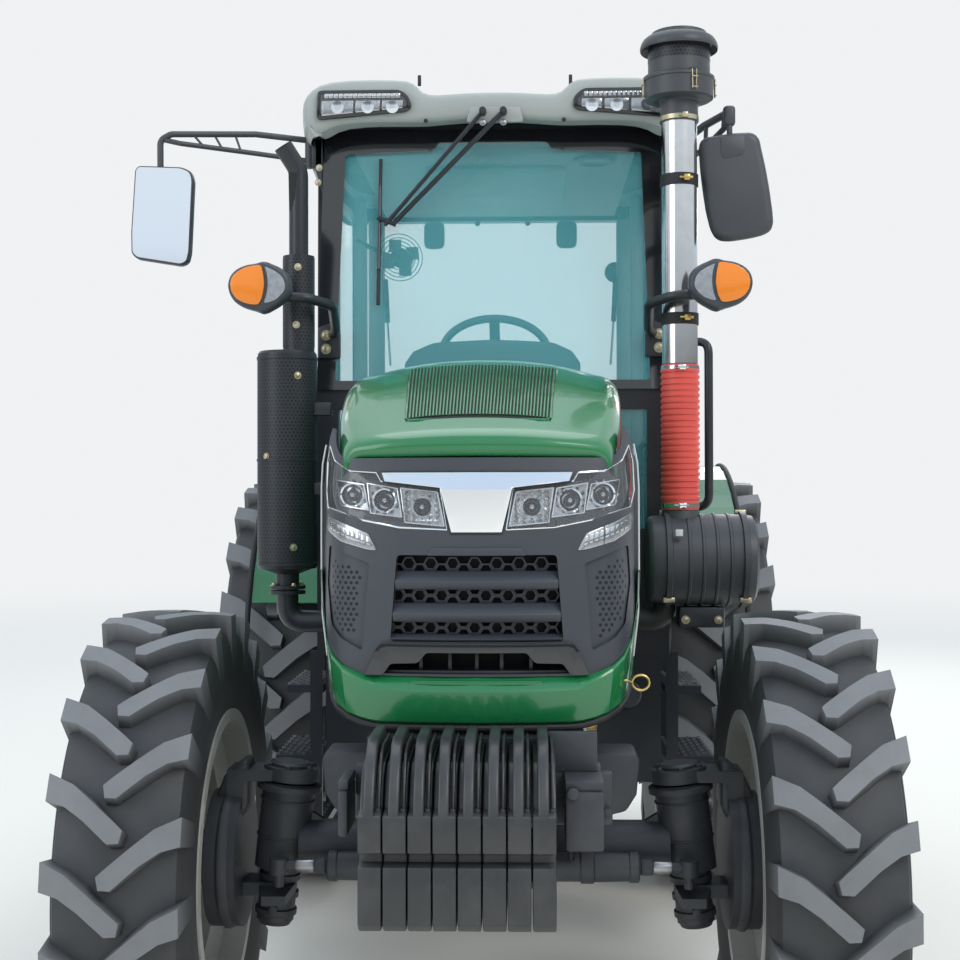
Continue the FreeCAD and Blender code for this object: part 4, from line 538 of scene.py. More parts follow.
# Spread of a lug's foot, its depth in the carcass, and how far its top falls at the tread's edge
LUG_FLARE, LUG_ROOT, LUG_DROP = 0.011, 0.008, 0.012
LUG_PLAN = (  # across from the middle of the tread, around the tyre, both in half widths
    (-0.13, -0.16),
    (-0.17, 0.02),
    (-0.06, 0.12),
    (0.30, 0.42),
    (0.62, 0.68),
    (1.0, 0.86),
    (1.0, 0.44),
    (0.72, 0.36),
    (0.42, 0.16),
    (0.04, -0.17),
)


def tyre(word, end, side, lugs, lug_height):
    """A lathed carcass with slanted lugs laid on its tread."""
    low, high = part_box("tyre_" + word)
    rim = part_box("rim_" + word)
    centre = (low + high) / 2 - DATUM
    radius = (high.z - low.z) / 2
    half = (high.x - low.x) / 2
    crown = radius - lug_height
    foot = (rim[1].z - rim[0].z) / 2 - BEAD
    tall = crown - foot
    wall = [  # across in half widths, radius
        (0.80, foot), (0.885, foot + 0.012), (0.91, foot + 0.03), (0.96, foot + 0.07), (0.995, foot + tall * 0.42),
        (1.0, foot + tall * 0.52), (0.985, foot + tall * 0.70), (0.95, crown - 0.042), (0.88, crown - 0.022),
        (0.70, crown - 0.011), (0.40, crown - 0.004), (0.0, crown),
    ]

    def carcass(across):
        """Radius of the carcass at a distance from the middle of the tread."""
        a = abs(across) / half
        rows = [p for p in wall if p[1] > foot + tall * 0.5][::-1]
        for (a0, r0), (a1, r1) in zip(rows, rows[1:]):
            if a <= a1:
                return r0 + (r1 - r0) * (a - a0) / max(a1 - a0, 1e-6)
        return rows[-1][1]

    piece = Piece("tyre_" + word, "tyre rubber")
    profile = [(a * half, r) for a, r in wall] + [(-a * half, r) for a, r in wall[-2::-1]]
    piece.lathe(profile, (0, 0, 0), X, sides=112)
    wear = piece.bm.verts.layers.float.new("wear")
    for v in piece.bm.verts:
        v[wear] = 0.16 if math.hypot(v.co.y, v.co.z) > crown - 0.03 else 0.05
    for hand in (1, -1):
        lug = flat([(u * half * 0.985, v * half) for u, v in LUG_PLAN], "z", 0.0)
        top = extruded(lug, Z)
        middle = sum((v.co for v in top), Vector()) / len(top)
        for v in lug.verts:
            if v.co.z < 0.5:
                v.co += ((v.co - middle) * Vector((0.3, 1, 0))).normalized() * LUG_FLARE
        sliced(lug, "x", -0.2 * half, half, half * 0.22)
        wear = lug.verts.layers.float.new("wear")
        for v in lug.verts:
            height = v.co.z
            v[wear] = 1.0 if height > 0.5 else 0.1
            across = max(-half, min(half, v.co.x))
            drop = LUG_DROP * (abs(across) / half) ** 2.2
            base = carcass(across) - LUG_ROOT
            r = base + (radius - drop - base) * height
            a = v.co.y / radius
            v.co = Vector((across * hand, r * math.cos(a), r * math.sin(a)))
        if hand < 0:
            bmesh.ops.reverse_faces(lug, faces=lug.faces)
        mesh = linked("lug", lug)
        for k in range(lugs):
            one = bmesh.new()
            one.from_mesh(mesh)
            piece.merge(one, 0, Matrix.Rotation(math.tau * (k + (0.5 if hand < 0 else 0)) / lugs, 4, "X"))
        bpy.data.meshes.remove(mesh)
    # The points of the lugs lead at the ground when the wheel rolls ahead.
    bmesh.ops.rotate(piece.bm, verts=piece.bm.verts, cent=(0, 0, 0), matrix=Matrix.Rotation(math.pi, 3, "Z"))
    bmesh.ops.translate(piece.bm, verts=piece.bm.verts, vec=centre)
    outer = 1 if centre.x > 0 else -1
    for ring, across, depth in ((0.62, 0.995, 0.004), (0.86, 0.93, 0.003)):
        r = foot + tall * ring
        x = centre.x + outer * half * across
        piece.lathe([(-depth, r - 0.004), (0, r), (-depth, r + 0.004)], (x, centre.y, centre.z), X * outer, 96)
    piece.done(f"{end}_wheel_{side}", ("tyre_" + word,))


def build_tyres(height):
    for word in WHEELS:
        end, side = word.split("_")
        tyre(word, end, side, 20 if end == "front" else 22, height)


# Nose


def nose_y(x, z):
    """How far forward the nose's skin stands at a point of its front view."""
    a = abs(x)
    sag = 0.035 * (a / 0.25) ** 2 + 0.165 * max(0, (a - 0.26) / 0.105) ** 3.6
    rake = 0.05 * max(0, (z - 1.25) / 0.42) ** 2 + 0.015 * max(0, (1.2 - z) / 0.15) ** 1.5
    return -0.6 + min(sag, 0.26) + rake


def nose_part(piece, outline, proud=0.0, thick=0.02, mat=0, bevel=0.003, holes=(), step=0.025, segments=2, rise=0.06):
    """A plate cut to an outline of the front view, laid on the nose's skin; proud may be a function of height."""
    part = flat(outline, "y", 0.0, holes)
    xs = [p[0] for p in outline]
    zs = [p[1] for p in outline]
    sliced(part, "x", min(xs), max(xs), step)
    for hand in (1, -1):
        low, high = sorted((hand * 0.3, hand * 0.38))
        if max(xs) > low and min(xs) < high and max(xs) - min(xs) > 0.012:
            sliced(part, "x", low, high, 0.0085)
    sliced(part, "z", min(zs), max(zs), rise)
    outward(part, -Y)
    extruded(part, Y * thick, True)
    soften(part, bevel, segments, 1.0)
    for v in part.verts:
        v.co.y += nose_y(v.co.x, v.co.z) - (proud(v.co.z) if callable(proud) else proud)
    piece.merge(part, mat)


def ledge(piece, edge, profile, mat=0):
    """A bar across the nose whose section is given as (height, how far it stands back)."""
    part = fresh()
    rings = []
    for k in range(25):
        x = edge * (k / 12 - 1)
        rings.append([part.verts.new((x, nose_y(x, z) + back, z)) for z, back in profile])
    for a, b in zip(rings, rings[1:]):
        for j in range(len(profile)):
            i = (j + 1) % len(profile)
            part.faces.new((a[j], a[i], b[i], b[j]))
    for ring in (rings[0], rings[-1]):
        part.faces.new(ring)
    bmesh.ops.recalc_face_normals(part, faces=part.faces)
    soften(part, 0.0025, 2)
    piece.merge(part, mat)


MASK_HALF = (  # right half of the mask's outline, from the middle of its top down
    (0.29, 1.664), (0.311, 1.668), (0.326, 1.69), (0.333, 1.735), (0.342, 1.738), (0.355, 1.716), (0.366, 1.69),
    (0.373, 1.65), (0.376, 1.58), (0.376, 1.42), (0.372, 1.31), (0.357, 1.258), (0.335, 1.228), (0.3, 1.2),
    (0.248, 1.18),
)
LAMP_COVER = (
    (0.066, 1.503), (0.081, 1.594), (0.216, 1.611), (0.227, 1.63), (0.286, 1.634), (0.33, 1.66), (0.349, 1.695),
    (0.362, 1.66), (0.367, 1.59), (0.352, 1.551), (0.257, 1.524), (0.173, 1.508),
)
LAMP_CELLS = (  # inner foot, outer foot, outer head, inner head of each cell, in the front view
    ((0.07, 1.509), (0.162, 1.518), (0.173, 1.598), (0.087, 1.588)),
    ((0.166, 1.529), (0.241, 1.539), (0.25, 1.608), (0.178, 1.596)),
    ((0.243, 1.545), (0.312, 1.557), (0.326, 1.616), (0.256, 1.605)),
)
LED_BAR = ((0.224, 1.457), (0.244, 1.494), (0.366, 1.541), (0.358, 1.504), (0.308, 1.476), (0.246, 1.459))
SIDE_VENT = ((0.24, 1.428), (0.344, 1.466), (0.35, 1.38), (0.334, 1.288), (0.308, 1.26), (0.256, 1.234))
SIDE_MESH = ((0.262, 1.41), (0.334, 1.44), (0.338, 1.375), (0.324, 1.3), (0.304, 1.277), (0.274, 1.262))


def build_nose():
    mask = Piece("nose_mask_skin", "mask plastic", "gloss black", "painted hollow shade", "black paint")
    outer = on_side(-1, MASK_HALF) + list(MASK_HALF)
    grille = [(-0.178, 1.447), (0.178, 1.447), (0.192, 1.256), (-0.192, 1.256)]
    lower = [
        (-0.12, 1.236), (0.12, 1.236), (0.135, 1.212), (0.2, 1.212), (0.218, 1.185), (-0.218, 1.185),
        (-0.2, 1.212), (-0.135, 1.212),
    ]
    holes = [rounded(grille, 0.01), rounded(lower, 0.008)]
    holes += [rounded(on_side(hand, shape), 0.008) for shape in (SIDE_VENT, LAMP_COVER) for hand in (1, -1)]
    nose_part(mask, rounded(outer, 0.012), 0, 0.03, 0, 0.004, tuple(holes), 0.02)
    # Slats, each with a bright upper face and a darker lower one, and the mesh behind them
    for top, low in ((1.411, 1.371), (1.34, 1.299), (1.271, 1.256)):
        edge = 0.179 + 0.014 * (1.447 - top) / 0.19
        middle = low + (top - low) * 0.42
        ledge(mask, edge, ((top, 0.022), (middle, -0.004), (low, 0.004), (low, 0.05), (top, 0.05)))
    # A near-black plate behind the slats: painted shade.
    nose_part(mask, grille, -0.06, 0.004, 2, 0)
    hexes(mask, 0.178, 1.27, 1.44, -0.04, 0)
    # Frame round the low opening
    frame_outline = [
        (-0.212, 1.254), (0.212, 1.254), (0.226, 1.237), (0.25, 1.182), (0.209, 1.182), (0.19, 1.208),
        (0.13, 1.21), (0.11, 1.233), (-0.11, 1.233), (-0.13, 1.21), (-0.19, 1.208), (-0.209, 1.182),
        (-0.25, 1.182), (-0.226, 1.237),
    ]
    nose_part(mask, rounded(frame_outline, 0.006), 0.012, 0.03, 1, 0.005, segments=3)
    # A near-black plate behind the low opening: painted shade.
    nose_part(mask, [(-0.216, 1.236), (0.216, 1.236), (0.22, 1.182), (-0.22, 1.182)], -0.09, 0.004, 2, 0)
    for x in (-0.125, -0.06, 0.0, 0.055, 0.12):
        bar = [(x - 0.004, 1.236), (x + 0.004, 1.236), (x + 0.004, 1.184), (x - 0.004, 1.184)]
        nose_part(mask, bar, -0.03, 0.05, 3, 0.001)
    nose_part(mask, [(-0.2, 1.192), (0.2, 1.192), (0.206, 1.184), (-0.206, 1.184)], -0.012, 0.03, 3, 0.002)
    # Tab over the grille
    tab = [(-0.11, 1.446), (-0.1, 1.463), (0.1, 1.463), (0.11, 1.446)]
    nose_part(mask, rounded(tab, 0.004), 0.005, 0.02, 0, 0.003)
    # Side vents: a sunk plate full of holes
    for hand in (1, -1):
        nose_part(mask, rounded(on_side(hand, SIDE_VENT), 0.008), -0.012, 0.006, 0, 0)
        dots(mask, on_side(hand, SIDE_MESH), 2)
    mask.done("hood", ("nose_mask",))
    lamps_and_bars()
    trim()
    apron()


def inside(outline, x, z):
    """Whether a point lies in an outline of the front view."""
    hit = False
    for (x0, z0), (x1, z1) in zip(outline, outline[1:] + outline[:1]):
        if (z0 > z) != (z1 > z) and x < (x1 - x0) * (z - z0) / (z1 - z0) + x0:
            hit = not hit
    return hit


def dots(piece, outline, mat, pitch=0.0135, radius=0.0038):
    """Round holes of a perforated plate, as dark discs just proud of it: painted shade of the hollow behind the plate.
    """
    xs = [p[0] for p in outline]
    zs = [p[1] for p in outline]
    row = 0
    z = min(zs) + 0.004
    while z < max(zs):
        x = min(xs) + (pitch / 2 if row % 2 else 0)
        while x < max(xs):
            if inside(outline, x, z):
                disc = fresh()
                bmesh.ops.create_circle(disc, cap_ends=True, radius=radius, segments=10)
                slope = (nose_y(x + 0.004, z) - nose_y(x - 0.004, z)) / 0.008
                place = Vector((x, nose_y(x, z) + 0.0113, z))
                piece.merge(disc, mat, Matrix.Translation(place) @ toward(Vector((slope, -1, 0))))
            x += pitch
        z += pitch * 0.87
        row += 1


def hexes(piece, half, low, high, proud, mat):
    """A honeycomb of thin walls behind the slats."""
    size = 0.0165
    step_x, step_z = size * 1.5, size * math.sqrt(3)
    column = 0
    x = -half
    while x < half:
        z = low + (step_z / 2 if column % 2 else 0)
        while z < high:
            ring = fresh()
            loops = []
            for radius, depth in ((size, 0), (size * 0.74, 0), (size * 0.7, -0.012)):
                angles = [math.tau * n / 6 for n in range(6)]
                loops.append([ring.verts.new((radius * math.cos(a), radius * math.sin(a), depth)) for a in angles])
            for a, b in zip(loops, loops[1:]):
                for n in range(6):
                    ring.faces.new((a[n], a[(n + 1) % 6], b[(n + 1) % 6], b[n]))
            place = Matrix.Translation((x, nose_y(x, z) - proud, z)) @ Matrix.Rotation(math.pi / 2, 4, "X")
            piece.merge(ring, mat, place)
            z += step_z
        x += step_x
        column += 1


def lamps_and_bars():
    """Headlamp clusters: dark tubs, three stepped cells each, bright bowls and a clear cover."""
    lamps = Piece("headlamp_cells", "gloss black", "lamp inside", "chrome", "lens", "painted hollow shade")
    for hand in (1, -1):
        cover = on_side(hand, LAMP_COVER)
        nose_part(lamps, cover, -0.05, 0.006, 0, 0)
        for k, corners in enumerate(LAMP_CELLS):
            cell = [(x * hand, z) for x, z in corners]
            mid = Vector((sum(p[0] for p in cell) / 4, sum(p[1] for p in cell) / 4))
            inner = [tuple(mid + (Vector(p) - mid) * 0.93) for p in cell]
            nose_part(lamps, cell, -0.008, 0.03, 2, 0.001, holes=(inner,))
            nose_part(lamps, inner, -0.036, 0.004, 1, 0)
            place = (mid.x, nose_y(mid.x, mid.y) + 0.036, mid.y)
            if k == 0:
                for row in range(6):
                    z = mid.y + (row - 2.5) * 0.0125
                    for column in range(5):
                        x = mid.x + (column - 2) * 0.0165 * hand
                        bowl = [(0.0, 0.008), (0.004, 0.0068), (0.0085, 0.0)]
                        if (Vector((x, z)) - mid).length > 0.019:
                            lamps.lathe(bowl, (x, nose_y(x, z) + 0.037, z), FRONT, 6, 1)
                lamps.lathe([(0.0, 0.021), (0.008, 0.02), (0.004, 0.013), (0.002, 0.0)], place, FRONT, 24, 2)
            else:
                bowl = [(0.0, 0.029), (0.017, 0.028), (0.021, 0.0235), (0.015, 0.0195), (0.006, 0.018)]
                lamps.lathe(bowl, place, FRONT, 28, 2)
                for turn in range(12):
                    a = math.tau * turn / 12
                    x, z = mid.x + 0.033 * math.cos(a), mid.y + 0.03 * math.sin(a)
                    lamps.lathe([(0.0, 0.006), (0.005, 0.0)], (x, nose_y(x, z) + 0.037, z), FRONT, 5, 1)
            # the dark middle of each cell: painted shade
            lamps.lathe([(0.004, 0.0135), (0.013, 0.0125), (0.017, 0.008), (0.019, 0)], place, FRONT, 20, 4)
            lamps.lathe([(0.016, 0.0065), (0.02, 0.0045), (0.0215, 0)], place, FRONT, 16, 1)
        nose_part(lamps, rounded(cover, 0.006), 0.001, 0.002, 3, 0)
        rim = [Vector((x, nose_y(x, z) - 0.001, z)) for x, z in cover]
        lamps.tube(rim + rim[:1], 0.0022, 0, 6, 2, caps=False)
    lamps.done("hood", ("headlamps",))
    bars = Piece("lamp_bars", "lens", "lamp inside", "chrome")
    for hand in (1, -1):
        shape = rounded(on_side(hand, LED_BAR), 0.004)
        nose_part(bars, shape, 0.008, 0.003, 0, 0.001)
        nose_part(bars, shape, 0.001, 0.006, 1, 0.001)
        for k in range(9):
            x = 0.243 + 0.012 * k
            z = 1.475 + 0.0042 * k
            dash = [(x - 0.004, z - 0.007), (x + 0.004, z - 0.005), (x + 0.005, z + 0.014), (x - 0.003, z + 0.012)]
            nose_part(bars, on_side(hand, dash), 0.004, 0.004, 2, 0.001)
    bars.done("hood", ())


def bright_proud(z):
    """How far the bright bar stands out of the mask: its upper band leans back, its shield leans forward."""
    if z > 1.592:
        return 0.03 - 0.022 * min(1, (z - 1.592) / 0.04)
    return 0.03 - 0.27 * (1.592 - z)


def trim():
    """Bright bar under the hood's lip with its blank shield."""
    bar = [
        (-0.214, 1.631), (0.214, 1.631), (0.206, 1.611), (0.08, 1.596), (0.056, 1.497),
        (-0.056, 1.497), (-0.08, 1.596), (-0.206, 1.611),
    ]
    piece = Piece("nose_bright_bar", "chrome", "black paint")
    nose_part(piece, bar, bright_proud, 0.022, 0, 0.004, segments=3, rise=0.0095)
    edge = [(x * 1.03, z + (0.003 if z > 1.62 else -0.004)) for x, z in bar]
    nose_part(piece, edge, 0.003, 0.014, 1, 0.002)
    piece.done("hood", ("nose_trim",))


APRON_STATIONS = (  # half width, then heights of its lower edge, its crease and its upper edge
    (0.0, 1.073, 1.153, 1.179),
    (0.14, 1.073, 1.153, 1.179),
    (0.222, 1.073, 1.156, 1.179),
    (0.244, 1.075, 1.166, 1.182),
    (0.272, 1.081, 1.179, 1.19),
    (0.302, 1.09, 1.194, 1.202),
    (0.332, 1.102, 1.218, 1.226),
    (0.352, 1.112, 1.247, 1.254),
    (0.364, 1.125, 1.285, 1.291),
    (0.37, 1.14, 1.33, 1.336),
    (0.373, 1.16, 1.40, 1.404),
)


def apron():
    """Green apron under the mask: a ledge, a crease, flat faces with turned corners, and wings up the sides."""
    piece = Piece("nose_apron_skin", "green paint", "rubber seal", "brass", "white patch and painted highlight")
    stations = [(-s[0],) + s[1:] for s in APRON_STATIONS[:0:-1]] + list(APRON_STATIONS)
    part = fresh()
    rows = []
    for x, low, crease, top in stations:
        y = nose_y(x, 1.19)
        shares = (  # height, how far it stands back, share of the half width
            (top + 0.004, 0.026, 1.0), (top, 0.004, 1.0), (crease + 0.002, -0.018, 1.0), (crease - 0.005, -0.022, 1.0),
            (low + (crease - low) * 0.5, -0.016, 0.985), (low + 0.008, -0.008, 0.968), (low, 0.004, 0.96),
        )
        rows.append([part.verts.new((x * share, y + back, z)) for z, back, share in shares])
    for a, b in zip(rows, rows[1:]):
        for k in range(len(a) - 1):
            part.faces.new((a[k], a[k + 1], b[k + 1], b[k]))
    outward(part, -Y)
    bmesh.ops.solidify(part, geom=part.faces[:], thickness=0.006)
    soften(part, 0.0035, 2, 0.2)
    piece.merge(part, 0)
    inset = [(-0.155, 1.160), (-0.142, 1.172), (0.142, 1.172), (0.155, 1.160)]
    nose_part(piece, inset, 0.012, 0.02, 0, 0.002)
    seal = [Vector((x * 0.955, nose_y(x, 1.19) + 0.002, low - 0.006)) for x, low, _, _ in stations]
    piece.tube(seal, 0.008, 0.02, 10, 1)
    # A thin white line down each side edge of the hood: a painted highlight.
    for hand in (1, -1):
        line = [(0.364, 1.7), (0.3725, 1.655), (0.3755, 1.6), (0.3757, 1.5), (0.3757, 1.4), (0.3735, 1.3), (0.362, 1.2)]
        points = [Vector((x * hand, -0.35, z)) for x, z in line]
        piece.tube(points, 0.0022, 0.02, 6, 3)
    loop = circle((0.37, -0.47, 1.152), 0.02, 14, X, Z * 0.875, 7)  # a pull ring on its cord
    piece.tube([(0.31, -0.5, 1.158), (0.336, -0.485, 1.158), *loop, loop[0]], 0.0028, 0, 8, 2)
    piece.done("hood", ("nose_apron",))


# Hood

HOOD_ROWS = (  # y, half width, foot height, height of the corner's inner end, crown height, corner, sag of the plan
    (-0.548, 0.290, 1.662, 1.664, 1.667, 0.03, 0.060),
    (-0.562, 0.297, 1.655, 1.672, 1.680, 0.035, 0.060),
    (-0.562, 0.303, 1.645, 1.690, 1.706, 0.04, 0.060),
    (-0.545, 0.310, 1.650, 1.704, 1.722, 0.04, 0.055),
    (-0.480, 0.320, 1.650, 1.732, 1.751, 0.042, 0.045),
    (-0.360, 0.336, 1.200, 1.784, 1.803, 0.045, 0.02),
    (-0.200, 0.346, 1.200, 1.842, 1.864, 0.05, 0.0),
    (-0.060, 0.350, 1.210, 1.882, 1.915, 0.055, 0.0),
    (0.080, 0.352, 1.210, 1.900, 1.944, 0.06, 0.0),
    (0.300, 0.352, 1.230, 1.902, 1.950, 0.06, 0.0),
    (0.620, 0.350, 1.240, 1.902, 1.957, 0.06, 0.0),
    (0.935, 0.350, 1.240, 1.903, 1.963, 0.06, 0.0),
)


def hood_line(y, half, foot, edge, crown, corner, sag):
    """Right half of a section of the hood, from its foot over the rounded corner to the middle."""
    side = edge - corner
    line = [(half, foot + (side - foot) * t) for t in (0, 0.4, 0.8, 0.97)]
    for k in range(1, 7):
        a = math.pi / 2 * k / 6
        line.append((half - corner * (1 - math.cos(a)), side + corner * math.sin(a)))
    reach = half - corner
    for t in (0.86, 0.66, 0.44, 0.22, 0.0):
        line.append((reach * t, edge + (crown - edge) * (1 - t**2.4)))
    return [(x, y + sag * (abs(x) / 0.3) ** 2.5, z) for x, z in line]


def build_hood():
    piece = Piece("hood_skin", "green paint")
    piece.merge(sheet([hood_line(*row)[::-1] for row in HOOD_ROWS]))
    smooth = ("SUBSURF", {"levels": 2, "render_levels": 2})
    thick = ("SOLIDIFY", {"thickness": 0.006, "offset": -1})
    skin = piece.done("hood", ("hood_shell",), (smooth, thick))
    top_vent(skin.evaluated_get(bpy.context.evaluated_depsgraph_get()))


def top_vent(skin):
    """Ribbed grille let into the top of the hood."""
    piece = Piece("hood_top_vent", "green paint", "painted hollow shade")

    def top(x, y, above):
        """A place above the hood's skin."""
        place = skin.ray_cast(DATUM + Vector((x, y, 2.5)), -Z)[1]
        return Vector((x, y, place.z + above))

    y0, y1 = -0.462, -0.05
    outline = rounded([(-0.168, y0), (0.168, y0), (0.19, y1), (-0.19, y1)], 0.03, 5)
    # A near-black sheet under the ribs: painted shade between them.
    part = flat(outline, "z", 0.0)
    sliced(part, "y", y0, y1, 0.03)
    sliced(part, "x", -0.19, 0.19, 0.03)
    for v in part.verts:
        v.co = top(v.co.x, v.co.y, 0.0012)
    outward(part, Z)
    piece.merge(part, 1)
    ribs, steps = 44, 12
    for k in range(ribs):
        x = -0.166 + 0.332 * k / (ribs - 1)
        shares = [j / steps for j in range(steps + 1)]
        rib = [top(x * (1 + 0.11 * t), y0 + 0.008 + (y1 - y0 - 0.016) * t, 0.003) for t in shares]
        piece.tube(rib, 0.0026, 0, 6, 0, caps=False)
    piece.tube([top(x, y, 0.001) for x, y in outline + outline[:1]], 0.003, 0, 8, 0, caps=False)
    piece.done("hood", ())


# Weights


def build_weights():
    piece = Piece("weight_pack", "weight casting", "painted hollow shade")
    low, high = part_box("front_weights")
    low, high = low - DATUM, high - DATUM
    count = 8
    pitch = (high.x - low.x + 0.002) / count
    body = [
        (-0.635, 1.040), (-0.800, 1.030), (-0.838, 1.005), (-0.866, 0.960), (-0.870, 0.948), (-0.915, 0.940),
        (-0.915, 0.866), (-0.880, 0.860), (-0.880, 0.842), (-0.912, 0.838), (-0.914, 0.724), (-0.898, 0.7075),
        (-0.715, 0.7075), (-0.712, 0.898), (-0.802, 0.898), (-0.802, 0.991), (-0.652, 0.991), (-0.652, 0.942),
        (-0.635, 0.942),
    ]
    lug = [
        (-0.635, 1.080), (-0.790, 1.080), (-0.825, 1.070), (-0.857, 1.046), (-0.884, 1.010), (-0.902, 0.975),
        (-0.914, 0.943), (-0.914, 0.925), (-0.850, 0.925), (-0.790, 1.000), (-0.635, 1.010),
    ]
    rib = [(-0.64, 1.064), (-0.785, 1.064), (-0.83, 1.05), (-0.862, 1.015), (-0.886, 0.95), (-0.84, 0.93), (-0.64, 1.0)]
    for k in range(count):
        x = low.x + pitch * k
        piece.slab(body, x + 0.001, pitch - 0.003, "x", 0.0035, 0)
        piece.slab(lug, x + 0.011, 0.0225, "x", 0.005, 0, 3)
        piece.slab(rib, x + 0.038, 0.006, "x", 0.002, 0)
        piece.box((x + 0.034, -0.893, 0.938), (x + 0.046, -0.86, 0.951), 0.003)
    # A near-black block through the pack, seen in the gaps between the weights: painted shade.
    piece.box((low.x + 0.004, -0.87, 0.80), (high.x - 0.004, -0.74, 0.88), 0, 1)
    piece.done("tractor", ("front_weights",))
    carrier = Piece("weight_brackets", "casting", "black paint")
    for a, b, foot in ((0.19, 0.27, 0.842), (-0.283, -0.262, 0.87)):
        carrier.box((a, -0.79, foot), (b, -0.64, 0.965), 0.006)
        carrier.box((a, -0.78, 0.965), (b, -0.64, 0.985), 0.003)
    carrier.box((0.155, -0.665, 0.985), (0.262, -0.645, 1.07), 0.003)
    carrier.box((-0.26, -0.66, 0.93), (0.27, -0.61, 1.0), 0.006)
    carrier.rod((0.205, -0.79, 0.962), (0.205, -0.80, 0.962), 0.013, sides=24, bevel=0.004)
    carrier.box((-0.262, -0.62, 0.86), (0.297, -0.585, 0.975), 0.006)
    carrier.box((-0.24, -0.62, 0.995), (0.24, -0.5, 1.052), 0.004, 1)
    carrier.bolts([(0.284, -0.62, 0.89)], FRONT, 0.01, 0.01)
    carrier.done("tractor", ("weight_carrier",))


# Front axle and wheels' fittings


AXLE_Z, KINGPIN_X = 0.668, 0.525
CYLINDER = (-0.128, AXLE_Z - 0.02)  # y and z of the steering cylinder and rod


def kingpin(hand):
    """Middle and direction of one side's kingpin."""
    lean = math.sin(math.radians(6.5))
    return Vector((KINGPIN_X * hand, 0, AXLE_Z)), Vector((-lean * hand, 0, 1)).normalized()


def build_axle():
    piece = Piece("axle_fittings", "casting", "zinc", "rubber seal")
    z = AXLE_Z
    block = [(0.18, 0.97), (0.37, 0.97), (0.378, 0.95), (0.37, 0.87), (0.345, 0.83), (0.28, 0.815), (0.18, 0.815)]
    rib = [(0.40, z + 0.062), (0.47, z + 0.105), (0.478, z + 0.02), (0.40, z + 0.02)]
    boot = [(0, 0.037), (0.085, 0.035), (0.088, 0.038), (0.108, 0.038), (0.112, 0.034), (0.112, 0.022)]
    ends = Piece("tie_rod_ends", "casting", "bare steel")
    for hand in (1, -1):
        foot, up = kingpin(hand)
        for h in (0.03, 0.125):
            piece.lathe([(-0.003, 0.07), (-0.001, 0.0715), (0.001, 0.0715), (0.003, 0.07)], foot + up * h, up, 48)
        piece.lathe([(0, 0.068), (0, 0.083), (0.014, 0.083), (0.017, 0.078), (0.017, 0.06)], foot + up * 0.15, up, 48)
        piece.slab(on_side(hand, block), -0.34, 0.14, "y", 0.01)
        piece.slab(on_side(hand, rib), -0.011, 0.022, "y", 0.004)
        # ends of the steering cylinder with their boots, and the rod's joints with their lock nuts
        collar = [(0, 0.041), (0.03, 0.041), (0.034, 0.036), (0.034, 0.02)]
        for profile, x in ((collar, 0.245), (boot, 0.279)):
            piece.lathe(profile, (x * hand, *CYLINDER), X * hand, 36)
        ends.rod((0.395 * hand, *CYLINDER), (0.425 * hand, *CYLINDER), 0.0215, sides=6)
        ends.rod((0.425 * hand, *CYLINDER), (0.472 * hand, *CYLINDER), 0.0165, mat=1)
    piece.box((-0.12, -0.17, z + 0.02), (0.12, -0.11, z + 0.075), 0.008)
    piece.bolts([(x, -0.17, z + 0.048) for x in (-0.08, 0.08)], FRONT, 0.01, 0.01, 1)
    for x, bend, end in ((-0.22, -0.26, (-0.29, -0.08, z + 0.25)), (0.22, 0.28, (0.30, -0.05, z + 0.27))):
        piece.tube([(x, -0.16, z + 0.01), (x, -0.2, z + 0.06), (bend, -0.2, z + 0.16), end], 0.009, 0.04, 12, 2)
    piece.done("tractor", ())
    ends.done("tie_rod", ())
    for word, hand in (("left", 1), ("right", -1)):
        knuckle(word, hand)


def knuckle(word, hand):
    """Cap, gusset, rings and bolts of one wheel end."""
    piece = Piece("knuckle_fittings_" + word, "casting", "bare steel")
    foot, up = kingpin(hand)
    top = foot + up * 0.21
    piece.lathe([(0, 0.052), (0.006, 0.052), (0.012, 0.044), (0.012, 0)], top, up, 40)
    across = toward(up).to_3x3()
    piece.bolts(circle(top, 0.058, 6, across @ X, across @ Y), up, 0.008, 0.007)
    gusset = [(0.605, 0.897), (0.625, 0.897), (0.668, 0.862), (0.688, 0.81), (0.688, 0.75), (0.62, 0.75), (0.605, 0.79)]
    piece.slab(on_side(hand, gusset), -0.055, 0.11, "y", 0.014, 0, 3)
    for h in (-0.075, -0.12, -0.165):
        piece.lathe([(-0.01, 0.048), (-0.007, 0.054), (0.007, 0.054), (0.01, 0.048)], foot + up * h, up, 40)
    piece.lathe([(0, 0.046), (0.012, 0.04), (0.014, 0)], foot - up * 0.188, -up, 36)
    pin = foot - up * 0.15
    piece.rod(pin - Y * 0.045, pin - Y * 0.068, 0.012, sides=6)
    # the final drive's edge and its bolts
    piece.bolts(circle((0.63 * hand, 0, 0.64), 0.158, 12), -X * hand, 0.009, 0.008, 1)
    drive = [(0, 0.175), (0.012, 0.181), (0.022, 0.181), (0.03, 0.175)]
    piece.lathe(drive, (0.64 * hand, 0, 0.64), X * hand, 64)
    piece.done("knuckle_" + word, ())


CLAMP_DEPTH = 0.124  # from the rim's edge in to the middle of a clamp plate


